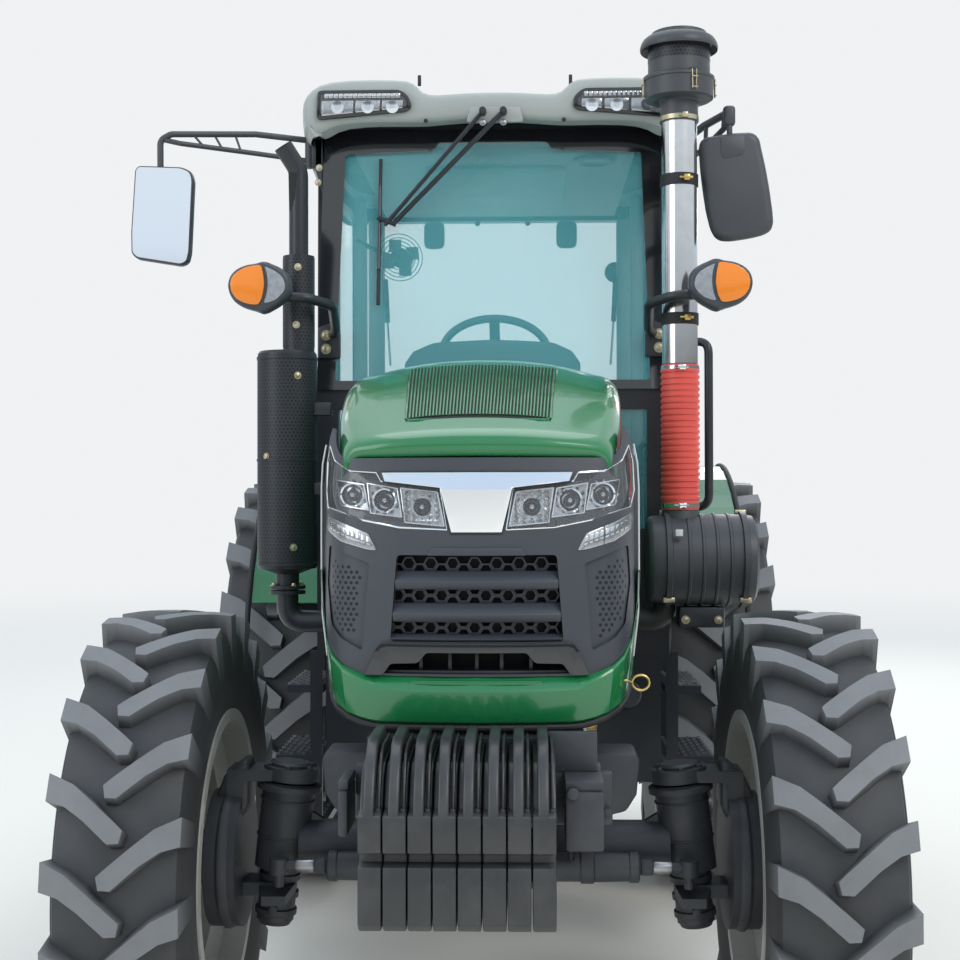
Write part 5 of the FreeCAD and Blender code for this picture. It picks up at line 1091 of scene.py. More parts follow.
def build_rims():
    """Wheel bolts, clamp plates, valves and hub caps."""
    for word in WHEELS:
        end, side = word.split("_")
        front = end == "front"
        out = X if side == "left" else -X
        low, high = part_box("rim_" + word)
        centre = (low + high) / 2 - DATUM
        centre.x = (0.81 if front else 0.84) * out.x
        radius = (high.z - low.z) / 2
        face = 0.014 if front else 0.024  # half the disc's thickness
        hub = centre + out * (0.095 if front else 0.07)
        piece = Piece("rim_fittings_" + word, "zinc", "rim paint", "rubber seal", "casting")
        ring = circle(centre + out * face, 0.128 if front else 0.158, 8 if front else 10)
        piece.bolts(ring, out, 0.014, 0.018)
        piece.lathe([(0, 0.07), (0.03, 0.066), (0.045, 0.05), (0.05, 0.03), (0.05, 0)], hub, out, 40, 3)
        piece.bolts(circle(hub + out * 0.03, 0.057, 6, turn=0.5), out, 0.006, 0.012, 0, washer=False)
        for k in range(8):
            clamp = cube((0.012, 0.055, 0.075), 0.004)
            bmesh.ops.translate(clamp, vec=out * (face + 0.008) + Z * (radius - CLAMP_DEPTH), verts=clamp.verts)
            piece.merge(clamp, 1, Matrix.Translation(centre) @ Matrix.Rotation(math.tau * (k + 0.5) / 8, 4, "X"))
        valve = centre + out * 0.03 + Z * (radius - 0.11)
        piece.rod(valve, valve + out * 0.03 - Z * 0.012, 0.0045, sides=10, mat=2)
        piece.done(f"{end}_wheel_{side}", ())


# Stacks


def perforated_tube(piece, centre, low, high, radius, mat):
    """Sheet with rows of holes, on a map of true lengths."""
    part = fresh()
    layer = part.loops.layers.uv["UVMap"]
    bmesh.ops.create_cone(part, cap_ends=False, segments=72, radius1=radius, radius2=radius, depth=high - low)
    for f in part.faces:
        mid = math.atan2(f.calc_center_median().y, f.calc_center_median().x)
        for loop in f.loops:
            a = math.atan2(loop.vert.co.y, loop.vert.co.x)
            a = mid + (a - mid + math.pi) % math.tau - math.pi
            loop[layer].uv = (a * radius, loop.vert.co.z)
    piece.merge(part, mat, Matrix.Translation((*centre, (low + high) / 2)))


def build_stacks():
    x, y = -0.638, 0.785
    piece = Piece("muffler_skin", "black paint", "perforated", "zinc")
    can = [
        (1.300, 0.0), (1.300, 0.036), (1.335, 0.036), (1.352, 0.083), (1.352, 0.090), (1.358, 0.092), (1.366, 0.0925),
        (2.008, 0.0925), (2.022, 0.092), (2.03, 0.086), (2.034, 0.05), (2.034, 0.0),
    ]
    piece.lathe(can, (x, y, 0), Z, 72)
    perforated_tube(piece, (x, y), 1.368, 2.006, 0.0935, 1)
    for z in (1.366, 1.69, 2.008):
        piece.lathe([(-0.006, 0.092), (-0.004, 0.0955), (0.004, 0.0955), (0.006, 0.092)], (x, y, z), Z, 72)
    ox = x + 0.036
    piece.lathe(band(2.03, 2.33, 0.034, 0.049), (ox, y, 0), Z, 60, closed=True)
    perforated_tube(piece, (ox, y), 2.045, 2.325, 0.05, 1)
    for cx, r, spots in (  # bolt heads: angle from the front, height
        (x, 0.0925, ((0.35, 1.42), (0.5, 1.95), (-0.6, 1.7))),
        (ox, 0.05, ((0.1, 2.29), (0.0, 2.11), (-0.9, 2.2))),
    ):
        for a, z in spots:
            out = Vector((math.sin(a), -math.cos(a), 0))
            piece.bolts([Vector((cx, y, z)) + out * r], out, 0.008, 0.007, 2)
    for z in (1.6, 1.85):
        piece.box((x + 0.08, y - 0.03, z - 0.02), (x + 0.14, y + 0.03, z + 0.02), 0.003)
    piece.done("tractor", ("muffler",))
    piece = Piece("exhaust_tubes", "black paint", "painted hollow shade", "zinc")
    start = Vector((ox, y, 2.331))
    bend = Vector((ox, y, 2.60))
    end = Vector((ox - 0.045, y - 0.03, 2.672))
    piece.tube([start, bend, end], 0.03, 0.07, 32, 0, caps=False)
    last = end - bend
    # The bore, near black: painted shade inside the pipe.
    bore = [end - last.normalized() * 0.0005, end - last * 0.9, start + Z * 0.02]
    piece.tube(bore, 0.0275, 0.05, 32, 1, caps=False)
    piece.tube([(x, y, 1.30), (x, y, 1.185), (-0.36, y, 1.185)], 0.034, 0.08, 28)
    for z in (1.288, 1.272):
        piece.lathe(band(z, z + 0.011, 0.034, 0.056), (x, y, 0), Z, 40)
    spots = [(x + 0.046 * math.cos(a), y + 0.046 * math.sin(a), 1.299) for a in (0.5, 2.1, 3.7, 5.3)]
    piece.bolts(spots, Z, 0.007, 0.008, 2)
    piece.done("tractor", ("exhaust_pipe",))
    intake()


def intake():
    """Bright pipe, ribbed hose, pre-cleaner and air cleaner."""
    x, y = 0.590, 0.785
    piece = Piece("intake_bright_pipe", "polished tube", "rubber seal", "brass")
    piece.lathe(band(1.986, 2.785, 0.051, 0.055), (x, y, 0), Z, 64, closed=True)
    for z in (2.5565, 2.125):
        piece.lathe(band(-0.018, 0.018, 0.055, 0.0585), (x, y, z), Z, 64, 1)
        piece.box((x + 0.008, y - 0.071, z - 0.009), (x + 0.026, y - 0.056, z + 0.009), 0.002, 2)
        piece.rod((x - 0.006, y - 0.066, z), (x + 0.036, y - 0.066, z), 0.0038, sides=10, mat=2)
    piece.done("tractor", ("intake_pipe",))
    piece = Piece("intake_ribbed_hose", "red hose", "chrome")
    profile = [(1.533, 0.0), (1.533, 0.057), (1.56, 0.057)]
    z = 1.562
    while z < 1.958:
        profile += [(z, 0.057), (z + 0.003, 0.0605), (z + 0.011, 0.0605), (z + 0.014, 0.057)]
        z += 0.0188
    profile += [(1.984, 0.057), (1.984, 0.0)]
    piece.lathe(profile, (x, y, 0), Z, 64)
    for z in (1.546, 1.972):
        piece.lathe(band(-0.007, 0.007, 0.057, 0.0592), (x, y, z), Z, 64, 1)
        piece.box((x - 0.012, y - 0.07, z - 0.008), (x + 0.012, y - 0.056, z + 0.008), 0.003, 1)
        piece.rod((x - 0.026, y - 0.064, z), (x + 0.02, y - 0.064, z), 0.0035, sides=10, mat=1)
    piece.done("tractor", ("intake_hose",))
    piece = Piece("pre_cleaner_skin", "dark plastic", "perforated", "zinc")
    bowl = [
        (2.790, 0.0), (2.790, 0.0552), (2.738, 0.0552), (2.738, 0.059), (2.802, 0.059), (2.806, 0.064),
        (2.808, 0.099), (2.812, 0.1055), (2.866, 0.1075), (2.868, 0.1105), (2.876, 0.1105), (2.879, 0.1),
        (2.884, 0.0965), (2.978, 0.0955), (2.98, 0.105), (2.968, 0.117), (2.962, 0.1195), (2.966, 0.121),
        (2.973, 0.121), (2.983, 0.1185), (2.994, 0.1125), (3.002, 0.103), (3.0055, 0.094), (3.006, 0.0885),
        (3.011, 0.0868), (3.017, 0.0855), (3.0195, 0.081), (3.0195, 0.0),
    ]
    piece.lathe(bowl, (x, y, 0), Z, 72)
    perforated_tube(piece, (x, y), 2.926, 2.974, 0.0968, 1)
    for a in (0.33, 1.62, -1.5, -2.7):
        out = Vector((math.sin(a), -math.cos(a), 0))
        at = Vector((x, y, 2.854)) + out * 0.112
        side = out.cross(Z)
        for s in (-1, 1):
            wire = [at + side * 0.006 * s + Z * 0.034 - out * 0.013, at + side * 0.007 * s + Z * 0.024]
            piece.tube(wire + [at + side * 0.006 * s - Z * 0.035], 0.002, 0.006, 8, 2)
        for z in (-0.03, 0.002):
            middle = at + Z * z + out * 0.003
            piece.tube([middle - side * 0.01, middle + side * 0.01], 0.0022, 0, 8, 2)
    piece.lathe(band(-0.007, 0.007, 0.0585, 0.0608), (x, y, 2.749), Z, 60, 2)
    piece.box((x + 0.004, y - 0.07, 2.742), (x + 0.02, y - 0.057, 2.758), 0.002, 2)
    piece.rod((x - 0.008, y - 0.065, 2.749), (x + 0.032, y - 0.065, 2.749), 0.0035, sides=10, mat=2)
    piece.done("tractor", ("pre_cleaner",))
    piece = Piece("air_cleaner_skin", "dark plastic", "black paint", "zinc", "white patch and painted highlight", "rubber seal")
    z0 = 1.378
    profile = [
        (0.485, 0.0), (0.485, 0.122), (0.492, 0.132), (0.500, 0.136), (0.535, 0.138), (0.537, 0.149),
        (0.552, 0.1495), (0.556, 0.141),
    ]
    at = 0.60
    while at < 0.75:
        profile += [(at, 0.141), (at + 0.003, 0.1445), (at + 0.009, 0.1445), (at + 0.012, 0.141)]
        at += 0.042
    profile += [
        (0.768, 0.141), (0.770, 0.1495), (0.786, 0.1495), (0.789, 0.139), (0.808, 0.136), (0.817, 0.122),
        (0.819, 0.06), (0.819, 0.0),
    ]
    piece.lathe(profile, (0, y, z0), X, 80)
    for x0 in (0.545, 0.778):
        for a in (-2.2, -0.4, 1.4):
            out = Vector((0, math.cos(a), math.sin(a)))
            p = Vector((x0, y, z0)) + out * 0.148
            piece.box(p - Vector((0.018, 0.008, 0.008)), p + Vector((0.018, 0.008, 0.008)), 0.003, 2)
    piece.tube([(0.540, y, 1.29), (0.540, y, 1.192), (0.36, y, 1.192)], 0.034, 0.05, 28, 4)
    piece.lathe([(1.44, 0.07), (1.5, 0.064), (1.531, 0.058), (1.531, 0.0)], (x, y, 0), Z, 48, 0)
    piece.box((0.56, y - 0.152, 1.455), (0.582, y - 0.138, 1.475), 0.001, 3)
    piece.box((0.58, y - 0.05, 1.17), (0.72, y + 0.06, 1.235), 0.008, 1)
    piece.bolts([(0.60, y - 0.05, 1.195), (0.70, y - 0.05, 1.195)], FRONT, 0.009, 0.008, 2)
    piece.done("tractor", ("air_cleaner",))


# Roof


ROOF_ROWS = (  # y, height of the side pods, height of the middle, foot of the side, half width
    (1.110, 2.815, 2.815, 2.815, 0.575),
    (1.068, 2.82, 2.818, 2.81, 0.600),
    (1.060, 2.84, 2.835, 2.80, 0.612),
    (1.060, 2.93, 2.885, 2.80, 0.618),
    (1.072, 2.962, 2.908, 2.80, 0.628),
    (1.10, 2.974, 2.914, 2.795, 0.640),
    (1.30, 2.982, 2.930, 2.795, 0.665),
    (1.70, 2.984, 2.955, 2.795, 0.700),
    (2.30, 2.980, 2.960, 2.80, 0.730),
    (2.75, 2.965, 2.945, 2.81, 0.725),
    (2.83, 2.945, 2.925, 2.82, 0.700),
    (2.858, 2.90, 2.895, 2.83, 0.670),
    (2.850, 2.845, 2.845, 2.84, 0.640),
)
ROOF_FRONT = 1.060  # y of the face that holds the lamps


def roof_line(y, pod, arch, low, half):
    """Half a section of the roof, from the middle of the top to the foot of its side."""
    rise = arch + 0.012
    return [
        (0.0, y, rise), (0.10, y, rise - 0.001), (0.19, y, arch + 0.002), (0.235, y, arch + (pod - arch) * 0.15),
        (0.262, y, arch + (pod - arch) * 0.85), (0.30, y, pod), (half - 0.14, y, pod + 0.002),
        (half - 0.05, y, pod - 0.012), (half - 0.008, y, pod - 0.055), (half, y, (pod + low) / 2),
        (half - 0.004, y, low), (half - 0.03, y, low - 0.028),
    ]


def build_roof():
    piece = Piece("roof_skin", "roof plastic", "rubber seal")
    piece.merge(sheet([roof_line(*row) for row in ROOF_ROWS]))
    corners = [(-0.58, 1.09), (0.58, 1.09), (0.70, 1.9), (0.70, 2.8), (-0.70, 2.8), (-0.70, 1.9)]
    piece.slab([(x * 0.97, y) for x, y in corners], 2.838, 0.02, "z", 0, 1)
    smooth = ("SUBSURF", {"levels": 1, "render_levels": 1})
    piece.done("tractor", ("cab_roof",), (smooth,))
    looks = ("gloss black", "lamp inside", "chrome", "lens", "painted hollow shade", "roof plastic", "rubber seal")
    lamps = Piece("roof_lamps", *looks)
    shape = [(-0.582, 2.925), (-0.300, 2.925), (-0.268, 2.893), (-0.268, 2.862), (-0.285, 2.852), (-0.585, 2.826)]

    def plate(points, proud, depth, mat, bevel=0.0):
        """A flat part that starts a little ahead of the roof's front."""
        lamps.slab(points, ROOF_FRONT - proud, depth, "y", bevel, mat)

    for hand in (-1, 1):
        outline = on_side(-hand, shape)
        plate(rounded(outline, 0.02), 0.012, 0.03, 0, 0.003)
        # a near-black plate inside the housing, behind the lens: painted shade
        plate(rounded(grow(outline, -0.011), 0.015), 0.0135, 0.004, 4)
        plate(rounded(grow(outline, -0.014), 0.012), 0.019, 0.003, 3)
        for k in range(17):
            u = -0.555 + 0.0158 * k
            cell = [(u, 2.897), (u + 0.0135, 2.897), (u + 0.0135, 2.912), (u, 2.912)]
            if -u - 0.0135 > 0.29:
                plate(on_side(-hand, cell), 0.0155, 0.004, 2, 0.0015)
        for a, b in ((-0.565, -0.46), (-0.452, -0.372), (-0.364, -0.296)):
            cell = [(a, 2.838 + (0.565 + a) * 0.09), (b, 2.838 + (0.565 + b) * 0.09), (b, 2.889), (a, 2.889)]
            plate(on_side(-hand, cell), 0.0152, 0.004, 1, 0.002)
            bowl = [(0.0, 0.021), (0.002, 0.021), (0.001, 0.012), (0.0, 0)]
            lamps.lathe(bowl, (-hand * (a + b) / 2, ROOF_FRONT - 0.0152, 2.866), FRONT, 24, 2)
    for x, z in ((-0.245, 2.975), (0.262, 2.972)):
        lamps.rod((x, 1.12, z - 0.02), (x, 1.12, z + 0.016), 0.006, sides=10, mat=6)
    for x, z in ((-0.22, 2.812), (0.238, 2.812)):
        lamps.rod((x, 1.062, z + 0.01), (x, 1.055, z + 0.01), 0.007, sides=14, mat=6)
    # recess of the wipers' spindles
    recess = rounded([(-0.085, 2.815), (-0.072, 2.866), (0.092, 2.866), (0.105, 2.815)], 0.01)
    lamps.slab(recess, 1.054, 0.02, "y", 0.003, 5)
    for x in (-0.47, 0.47):
        lamps.box((x - 0.075, 2.862, 2.868), (x + 0.075, 2.898, 2.935), 0.01, 0)
        lamps.box((x - 0.064, 2.896, 2.876), (x + 0.064, 2.902, 2.927), 0.006, 3)
    lamps.done("tractor", ())


# Cab


def glass_y(z):
    """Where the windscreen stands at a height."""
    return 1.004 + 0.211 * (z - 1.94)


def build_cab():
    piece = Piece("windscreen_band", "gloss black", "rubber seal", "black paint", "bare steel")
    outer = [(-0.574, 1.925), (0.574, 1.925), (0.574, 2.82), (-0.574, 2.82)]
    inner = [
        (-0.515, 1.955), (0.515, 1.955), (0.500, 2.735), (0.20, 2.747), (0.185, 2.775), (-0.185, 2.775),
        (-0.20, 2.747), (-0.500, 2.735),
    ]
    part = flat(outer, "y", 0.0, (rounded(inner, 0.012),))
    extruded(part, Y * 0.004, True)
    for v in part.verts:
        v.co.y += glass_y(v.co.z) - 0.012
    piece.merge(part, 0)
    # wipers: two arms from the roof's recess to one upright blade
    foot = Vector((-0.372, glass_y(2.49) - 0.03, 2.487))
    for k, x in enumerate((-0.03, 0.038)):
        top = Vector((x, 1.035, 2.846))
        piece.rod(top - Y * 0.02, top + Y * 0.03, 0.012, sides=18, mat=2)
        end = foot + Vector((0.012 + 0.035 * k, 0, -0.006 + 0.012 * k))
        piece.tube([top, top + (end - top) * 0.28, end], 0.0085 if k else 0.007, 0, 10, 2)
        piece.tube([top + (end - top) * 0.25, end], 0.0055, 0, 10, 2)
        piece.bolts([(x, 1.045, 2.812)], (0, -1, 0.2), 0.008, 0.008, 3)
    piece.tube([foot + Vector((-0.012, 0, 0.02)), foot + Vector((0.05, 0, -0.004))], 0.008, 0, 10, 2)
    blade = [(-0.378, glass_y(z) - 0.018, z) for z in (2.715, 2.46, 2.21)]
    piece.tube(blade, 0.006, 0, 8, 1)
    piece.tube([(-0.378, glass_y(z) - 0.026, z) for z in (2.62, 2.46, 2.33)], 0.005, 0, 8, 2)
    piece.done("tractor", ())
    piece = Piece("cab_lining", "lining", "dark plastic", "rubber seal", "bare steel", "lens", "black paint")
    piece.box((-0.50, 1.22, 2.79), (0.50, 2.62, 2.836), 0.01, 0)
    piece.box((-0.26, 1.60, 2.762), (0.26, 2.30, 2.792), 0.02, 0)
    piece.box((-0.06, 1.42, 2.776), (0.06, 1.50, 2.792), 0.006, 4)
    piece.lathe([(0, 0.08), (0.012, 0.078), (0.016, 0.06), (0.010, 0.05), (0.010, 0)], (0.36, 1.5, 2.79), -Z, 32, 1)
    # rear window frame with its hinge tabs, struts and latch
    for x in (-0.29, 0.29):
        tab = [(x - 0.045, 2.66), (x + 0.045, 2.66), (x + 0.045, 2.78), (x - 0.045, 2.78)]
        piece.slab(rounded(tab, 0.03), 2.665, 0.008, "y", 0.002, 1)
    for x in (-0.10, 0.12):
        piece.rod((x, 2.665, 2.77), (x, 2.66, 2.77), 0.012, sides=14, mat=2)
    for hand in (1, -1):
        piece.rod((0.50 * hand, 2.62, 2.52), (0.49 * hand, 2.60, 2.33), 0.011, sides=14, mat=5)
        piece.rod((0.49 * hand, 2.60, 2.33), (0.475 * hand, 2.57, 2.14), 0.005, sides=10, mat=3)
        piece.box((0.505 * hand, 2.60, 1.75), (0.575 * hand, 2.66, 2.78), 0.02)
        piece.box((0.53 * hand, 2.10, 1.77), (0.58 * hand, 2.16, 2.78), 0.015)
    piece.lathe([(0, 0.045), (0.008, 0.045), (0.01, 0.04), (0.01, 0)], (0.5, 2.655, 2.55), FRONT, 28, 1)
    # small fan in its cage
    for k in range(6):
        r = 0.018 + 0.013 * k
        wire = [(-0.0015, r), (0, r - 0.0015), (0.0015, r), (0, r + 0.0015)]
        piece.lathe(wire, (-0.335, 1.38, 2.42), (0.3, -1, 0), 32, 5, closed=True)
    piece.rod((-0.335, 1.385, 2.42), (-0.32, 1.43, 2.42), 0.035, sides=24, mat=5)
    blade = Vector((0.022, 0.002, 0.022))
    for mid in circle((-0.333, 1.39, 2.42), 0.045, 4, X + Y * 0.3, Z, 0.4 * 4 / math.tau):
        piece.box(mid - blade, mid + blade, 0.001, 1)
    piece.tube([(-0.32, 1.43, 2.42), (-0.40, 1.5, 2.45), (-0.50, 1.5, 2.5)], 0.009, 0.03, 10, 5)
    piece.done("tractor", ())
    dash()


def dash():
    """Arched top of the dash with its panel and two dials."""
    piece = Piece("dash_top", "dark plastic", "gloss black", "lens")
    arch = [
        (-0.292, 2.02), (-0.262, 2.062), (-0.20, 2.09), (0, 2.1), (0.20, 2.09), (0.262, 2.062), (0.292, 2.02),
        (0.26, 1.98), (-0.26, 1.98),
    ]
    piece.slab(rounded(arch, 0.02), 1.09, 0.18, "y", 0.02, 0, 4)
    panel = rounded([(-0.15, 1.99), (0.15, 1.99), (0.13, 2.07), (-0.13, 2.07)], 0.02)
    piece.slab(panel, 1.268, 0.012, "y", 0.004, 1)
    for x in (-0.07, 0.07):
        piece.lathe([(0, 0.036), (0.006, 0.036), (0.007, 0.03), (0.002, 0.028), (0.002, 0)], (x, 1.28, 2.03), Y, 28, 2)
    piece.done("tractor", ())


# Seat


def stuffed(name, outline, half, cap, look):
    """A pad swollen from a slightly smaller block by a cloth simulation, which is applied to its mesh."""
    block = flat(outline, "x", -half)
    extruded(block, X * 2 * half)
    soften(block, 0.022, 3)
    mesh = linked(name, block)
    mesh.materials.append(material(look))
    obj = added(name, mesh)
    remesh = obj.modifiers.new("Remesh", "REMESH")
    remesh.mode = "VOXEL"
    remesh.voxel_size = 0.009
    smooth = obj.modifiers.new("Smooth", "SMOOTH")
    smooth.iterations = 3
    solid = bpy.data.meshes.new_from_object(obj.evaluated_get(bpy.context.evaluated_depsgraph_get()))
    obj.modifiers.clear()
    obj.data = solid
    rest = [v.co.copy() for v in solid.vertices]
    cloth = obj.modifiers.new("Cloth", "CLOTH")
    cloth.settings.use_pressure = True
    cloth.settings.uniform_pressure_force = 4
    cloth.settings.effector_weights.gravity = 0
    scene = bpy.context.scene
    for frame_number in range(1, 21):
        scene.frame_set(frame_number)
    swollen = obj.evaluated_get(bpy.context.evaluated_depsgraph_get()).data
    moved = [v.co.copy() for v in swollen.vertices]
    obj.modifiers.clear()
    scene.frame_set(1)
    for vertex, start, end in zip(solid.vertices, rest, moved):
        step = end - start
        vertex.co = start + step * min(1, cap / max(step.length, 1e-9))
    return obj


def groove(away):
    """Share of a sewn channel's depth at a distance from its middle."""
    return math.exp(-((away / 0.008) ** 2))


def build_seat():
    cushion = [(1.925, 1.492), (2.345, 1.492), (2.345, 1.566), (1.965, 1.582), (1.925, 1.56)]
    back = [(2.36, 1.545), (2.45, 1.545), (2.505, 2.10), (2.487, 2.14), (2.462, 2.13), (2.366, 1.61)]
    pads = (  # name, outline seen from the side, half width, coordinate along the pad, channels across it, fill
        ("seat_cushion_pad", cushion, 0.212, 1, (2.04, 2.14, 2.24), 0.72),
        ("seat_back_pad", back, 0.192, 2, (1.68, 1.83, 1.98), 0.68),
    )
    for name, outline, half, axis, lines, fill in pads:
        obj = stuffed(name, outline, half, 0.014, "seat cloth")
        for v in obj.data.vertices:
            # sewn channels: two along the pad, three across
            depth = 0.006 * groove(abs(v.co.x) - half * 0.6)
            if abs(v.co.x) < half * 0.6:
                depth += sum(0.004 * groove(v.co[axis] - line) for line in lines)
            v.co -= v.normal * depth
        obj.data.transform(Matrix.Translation(DATUM))
        obj.data.shade_smooth()
        extra = obj.modifiers.new("Subsurf", "SUBSURF")
        extra.levels = extra.render_levels = 1
        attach(obj, "tractor")
    piece = Piece("seat_frame", "dark plastic", "rubber seal", "black paint", "seat cloth")
    for k in range(6):
        z = 1.15 + 0.05 * k
        half = 0.155 - 0.004 * (k % 2)
        piece.box((-half, 2.0, z), (half, 2.28, z + 0.046), 0.016, 1, segments=3)
    piece.box((-0.17, 1.985, 1.12), (0.17, 2.295, 1.15), 0.006, 2)
    piece.box((-0.17, 1.985, 1.45), (0.17, 2.295, 1.484), 0.008, 0)
    piece.slab(rounded([(2.44, 1.49), (2.475, 1.49), (2.522, 2.08), (2.5, 2.1)], 0.008), -0.17, 0.34, "x", 0.008)
    for hand in (1, -1):
        piece.box((0.245 * hand, 2.02, 1.665), (0.3 * hand, 2.34, 1.72), 0.02, 3, segments=3)
        piece.slab([(2.30, 1.55), (2.36, 1.55), (2.35, 1.68), (2.28, 1.68)], 0.25 * hand, 0.025 * hand, "x", 0.005, 2)
    piece.rod((0.19, 2.1, 1.46), (0.27, 2.1, 1.47), 0.008, sides=12, mat=2)
    piece.done("tractor", ("seat",))


# Mirrors, corner lamps and tubes


def build_mirrors():
    piece = Piece("mirror_housings", "dark plastic", "mirror glass")
    y = 0.99
    face = [
        (-1.176, 2.655), (-1.163, 2.668), (-1.022, 2.662), (-0.99, 2.648), (-0.981, 2.62), (-0.992, 2.38),
        (-1.0, 2.347), (-1.022, 2.336), (-1.17, 2.36), (-1.188, 2.378), (-1.189, 2.45),
    ]
    piece.slab(rounded(face, 0.012), y, 0.045, "y", 0.01, 0, 4)
    piece.slab(rounded(grow(face, -0.006), 0.012), y - 0.0012, 0.003, "y", 0, 1)
    back = [
        (0.655, 2.669), (0.66, 2.69), (0.677, 2.702), (0.718, 2.708), (0.759, 2.714), (0.814, 2.716), (0.831, 2.71),
        (0.845, 2.693), (0.851, 2.662), (0.863, 2.608), (0.875, 2.54), (0.885, 2.465), (0.887, 2.43), (0.879, 2.406),
        (0.855, 2.393), (0.814, 2.383), (0.752, 2.374), (0.722, 2.376), (0.705, 2.386), (0.691, 2.41), (0.677, 2.465),
        (0.667, 2.533), (0.659, 2.601),
    ]
    piece.slab(rounded(back, 0.02), 0.80, 0.05, "y", 0.022, 0, 4)
    piece.slab(rounded(grow(back, -0.01), 0.02), 0.8485, 0.003, "y", 0, 1)
    lid = [(0.72, 2.699), (0.795, 2.702), (0.797, 2.66), (0.79, 2.642), (0.73, 2.63), (0.721, 2.645)]
    piece.slab(rounded(lid, 0.006), 0.7982, 0.003, "y", 0.001)
    piece.done("tractor", ("mirrors",))
    tubework()
    corner_lamps()


def tubework():
    """Arms of the mirrors, the handrail and the arms of the corner lamps."""
    piece = Piece("cab_tubes", "black paint", "dark plastic", "zinc")
    # long arm: two bars with rungs
    hinge = Vector((-0.625, 1.185, 2.77))
    bends = ((-0.80, 1.13, 2.80), (-1.06, 1.015, 2.775), (-1.095, 1.01, 2.755), (-1.095, 1.012, 2.668))
    top = [hinge + Z * 0.02, *map(Vector, bends)]
    low = [hinge - Z * 0.05, *map(Vector, ((-0.80, 1.13, 2.735), (-1.03, 1.02, 2.745), (-1.08, 1.012, 2.755)))]
    piece.tube(top, 0.0105, 0.03, 14, 1)
    piece.tube(low, 0.0085, 0.03, 12, 1)
    for t in (0.25, 0.5, 0.75):
        piece.tube([top[1].lerp(top[2], t), low[1].lerp(low[2], t) + X * 0.012], 0.004, 0, 8, 1)
    piece.rod(hinge - Z * 0.075, hinge + Z * 0.045, 0.016, sides=20, mat=1)
    piece.slab(rounded([(-0.60, 2.84), (-0.577, 2.84), (-0.577, 2.60), (-0.60, 2.68)], 0.004), 1.155, 0.05, "y", 0.003)
    piece.box((-0.615, 1.155, 2.69), (-0.577, 1.215, 2.79), 0.004)
    piece.bolts([(-0.588, 1.155, 2.815), (-0.588, 1.155, 2.69), (-0.592, 1.155, 2.64)], FRONT, 0.008, 0.008, 2)
    # short arm
    root = Vector((0.60, 1.15, 2.735))
    tip = Vector((0.752, 0.835, 2.785))
    piece.tube([root, (0.69, 0.97, 2.775), tip], 0.0125, 0.03, 14, 1)
    low = [root - Z * 0.065, Vector((0.69, 0.97, 2.7)), Vector((0.75, 0.845, 2.748))]
    piece.tube(low, 0.0095, 0.03, 12, 1)
    for t in (0.3, 0.62, 0.92):
        piece.tube([root.lerp(tip, t), low[0].lerp(low[2], t)], 0.007, 0, 8, 1)
    piece.box((0.732, 0.812, 2.738), (0.77, 0.85, 2.802), 0.012, 1, segments=4)
    piece.rod((0.752, 0.826, 2.70), (0.752, 0.826, 2.745), 0.009, sides=16, mat=1)
    piece.box((0.577, 1.12, 2.61), (0.612, 1.19, 2.74), 0.004)
    piece.box((0.565, 1.07, 2.48), (0.60, 1.13, 2.70), 0.012)
    piece.bolts([(0.592, 1.12, 2.72), (0.592, 1.12, 2.63)], FRONT, 0.008, 0.008, 2)
    rail = [
        (0.577, 1.06, 2.08), (0.62, 1.06, 2.08), (0.705, 1.0, 2.08), (0.705, 1.0, 1.54), (0.62, 1.03, 1.54),
        (0.577, 1.03, 1.54),
    ]
    piece.tube(rail, 0.014, 0.04, 18)
    arm = [
        (0.53, 1.02, 2.108), (0.505, 0.94, 2.115), (0.49, 0.74, 2.17), (0.56, 0.67, 2.185), (0.70, 0.66, 2.19),
        (0.70, 0.645, 2.2),
    ]
    foot = [(0.50, 2.03), (0.572, 2.03), (0.572, 2.13), (0.52, 2.15), (0.50, 2.12)]
    for hand in (1, -1):
        piece.tube([(x * hand, y, z) for x, y, z in arm], 0.0155, 0.06, 18)
        piece.slab(rounded(on_side(hand, foot), 0.008), 1.0, 0.035, "y", 0.004)
        piece.bolts([(0.545 * hand, 1.0, z) for z in (2.105, 2.06)], FRONT, 0.012, 0.009, 2)
    piece.done("tractor", ("cab_tubework",))


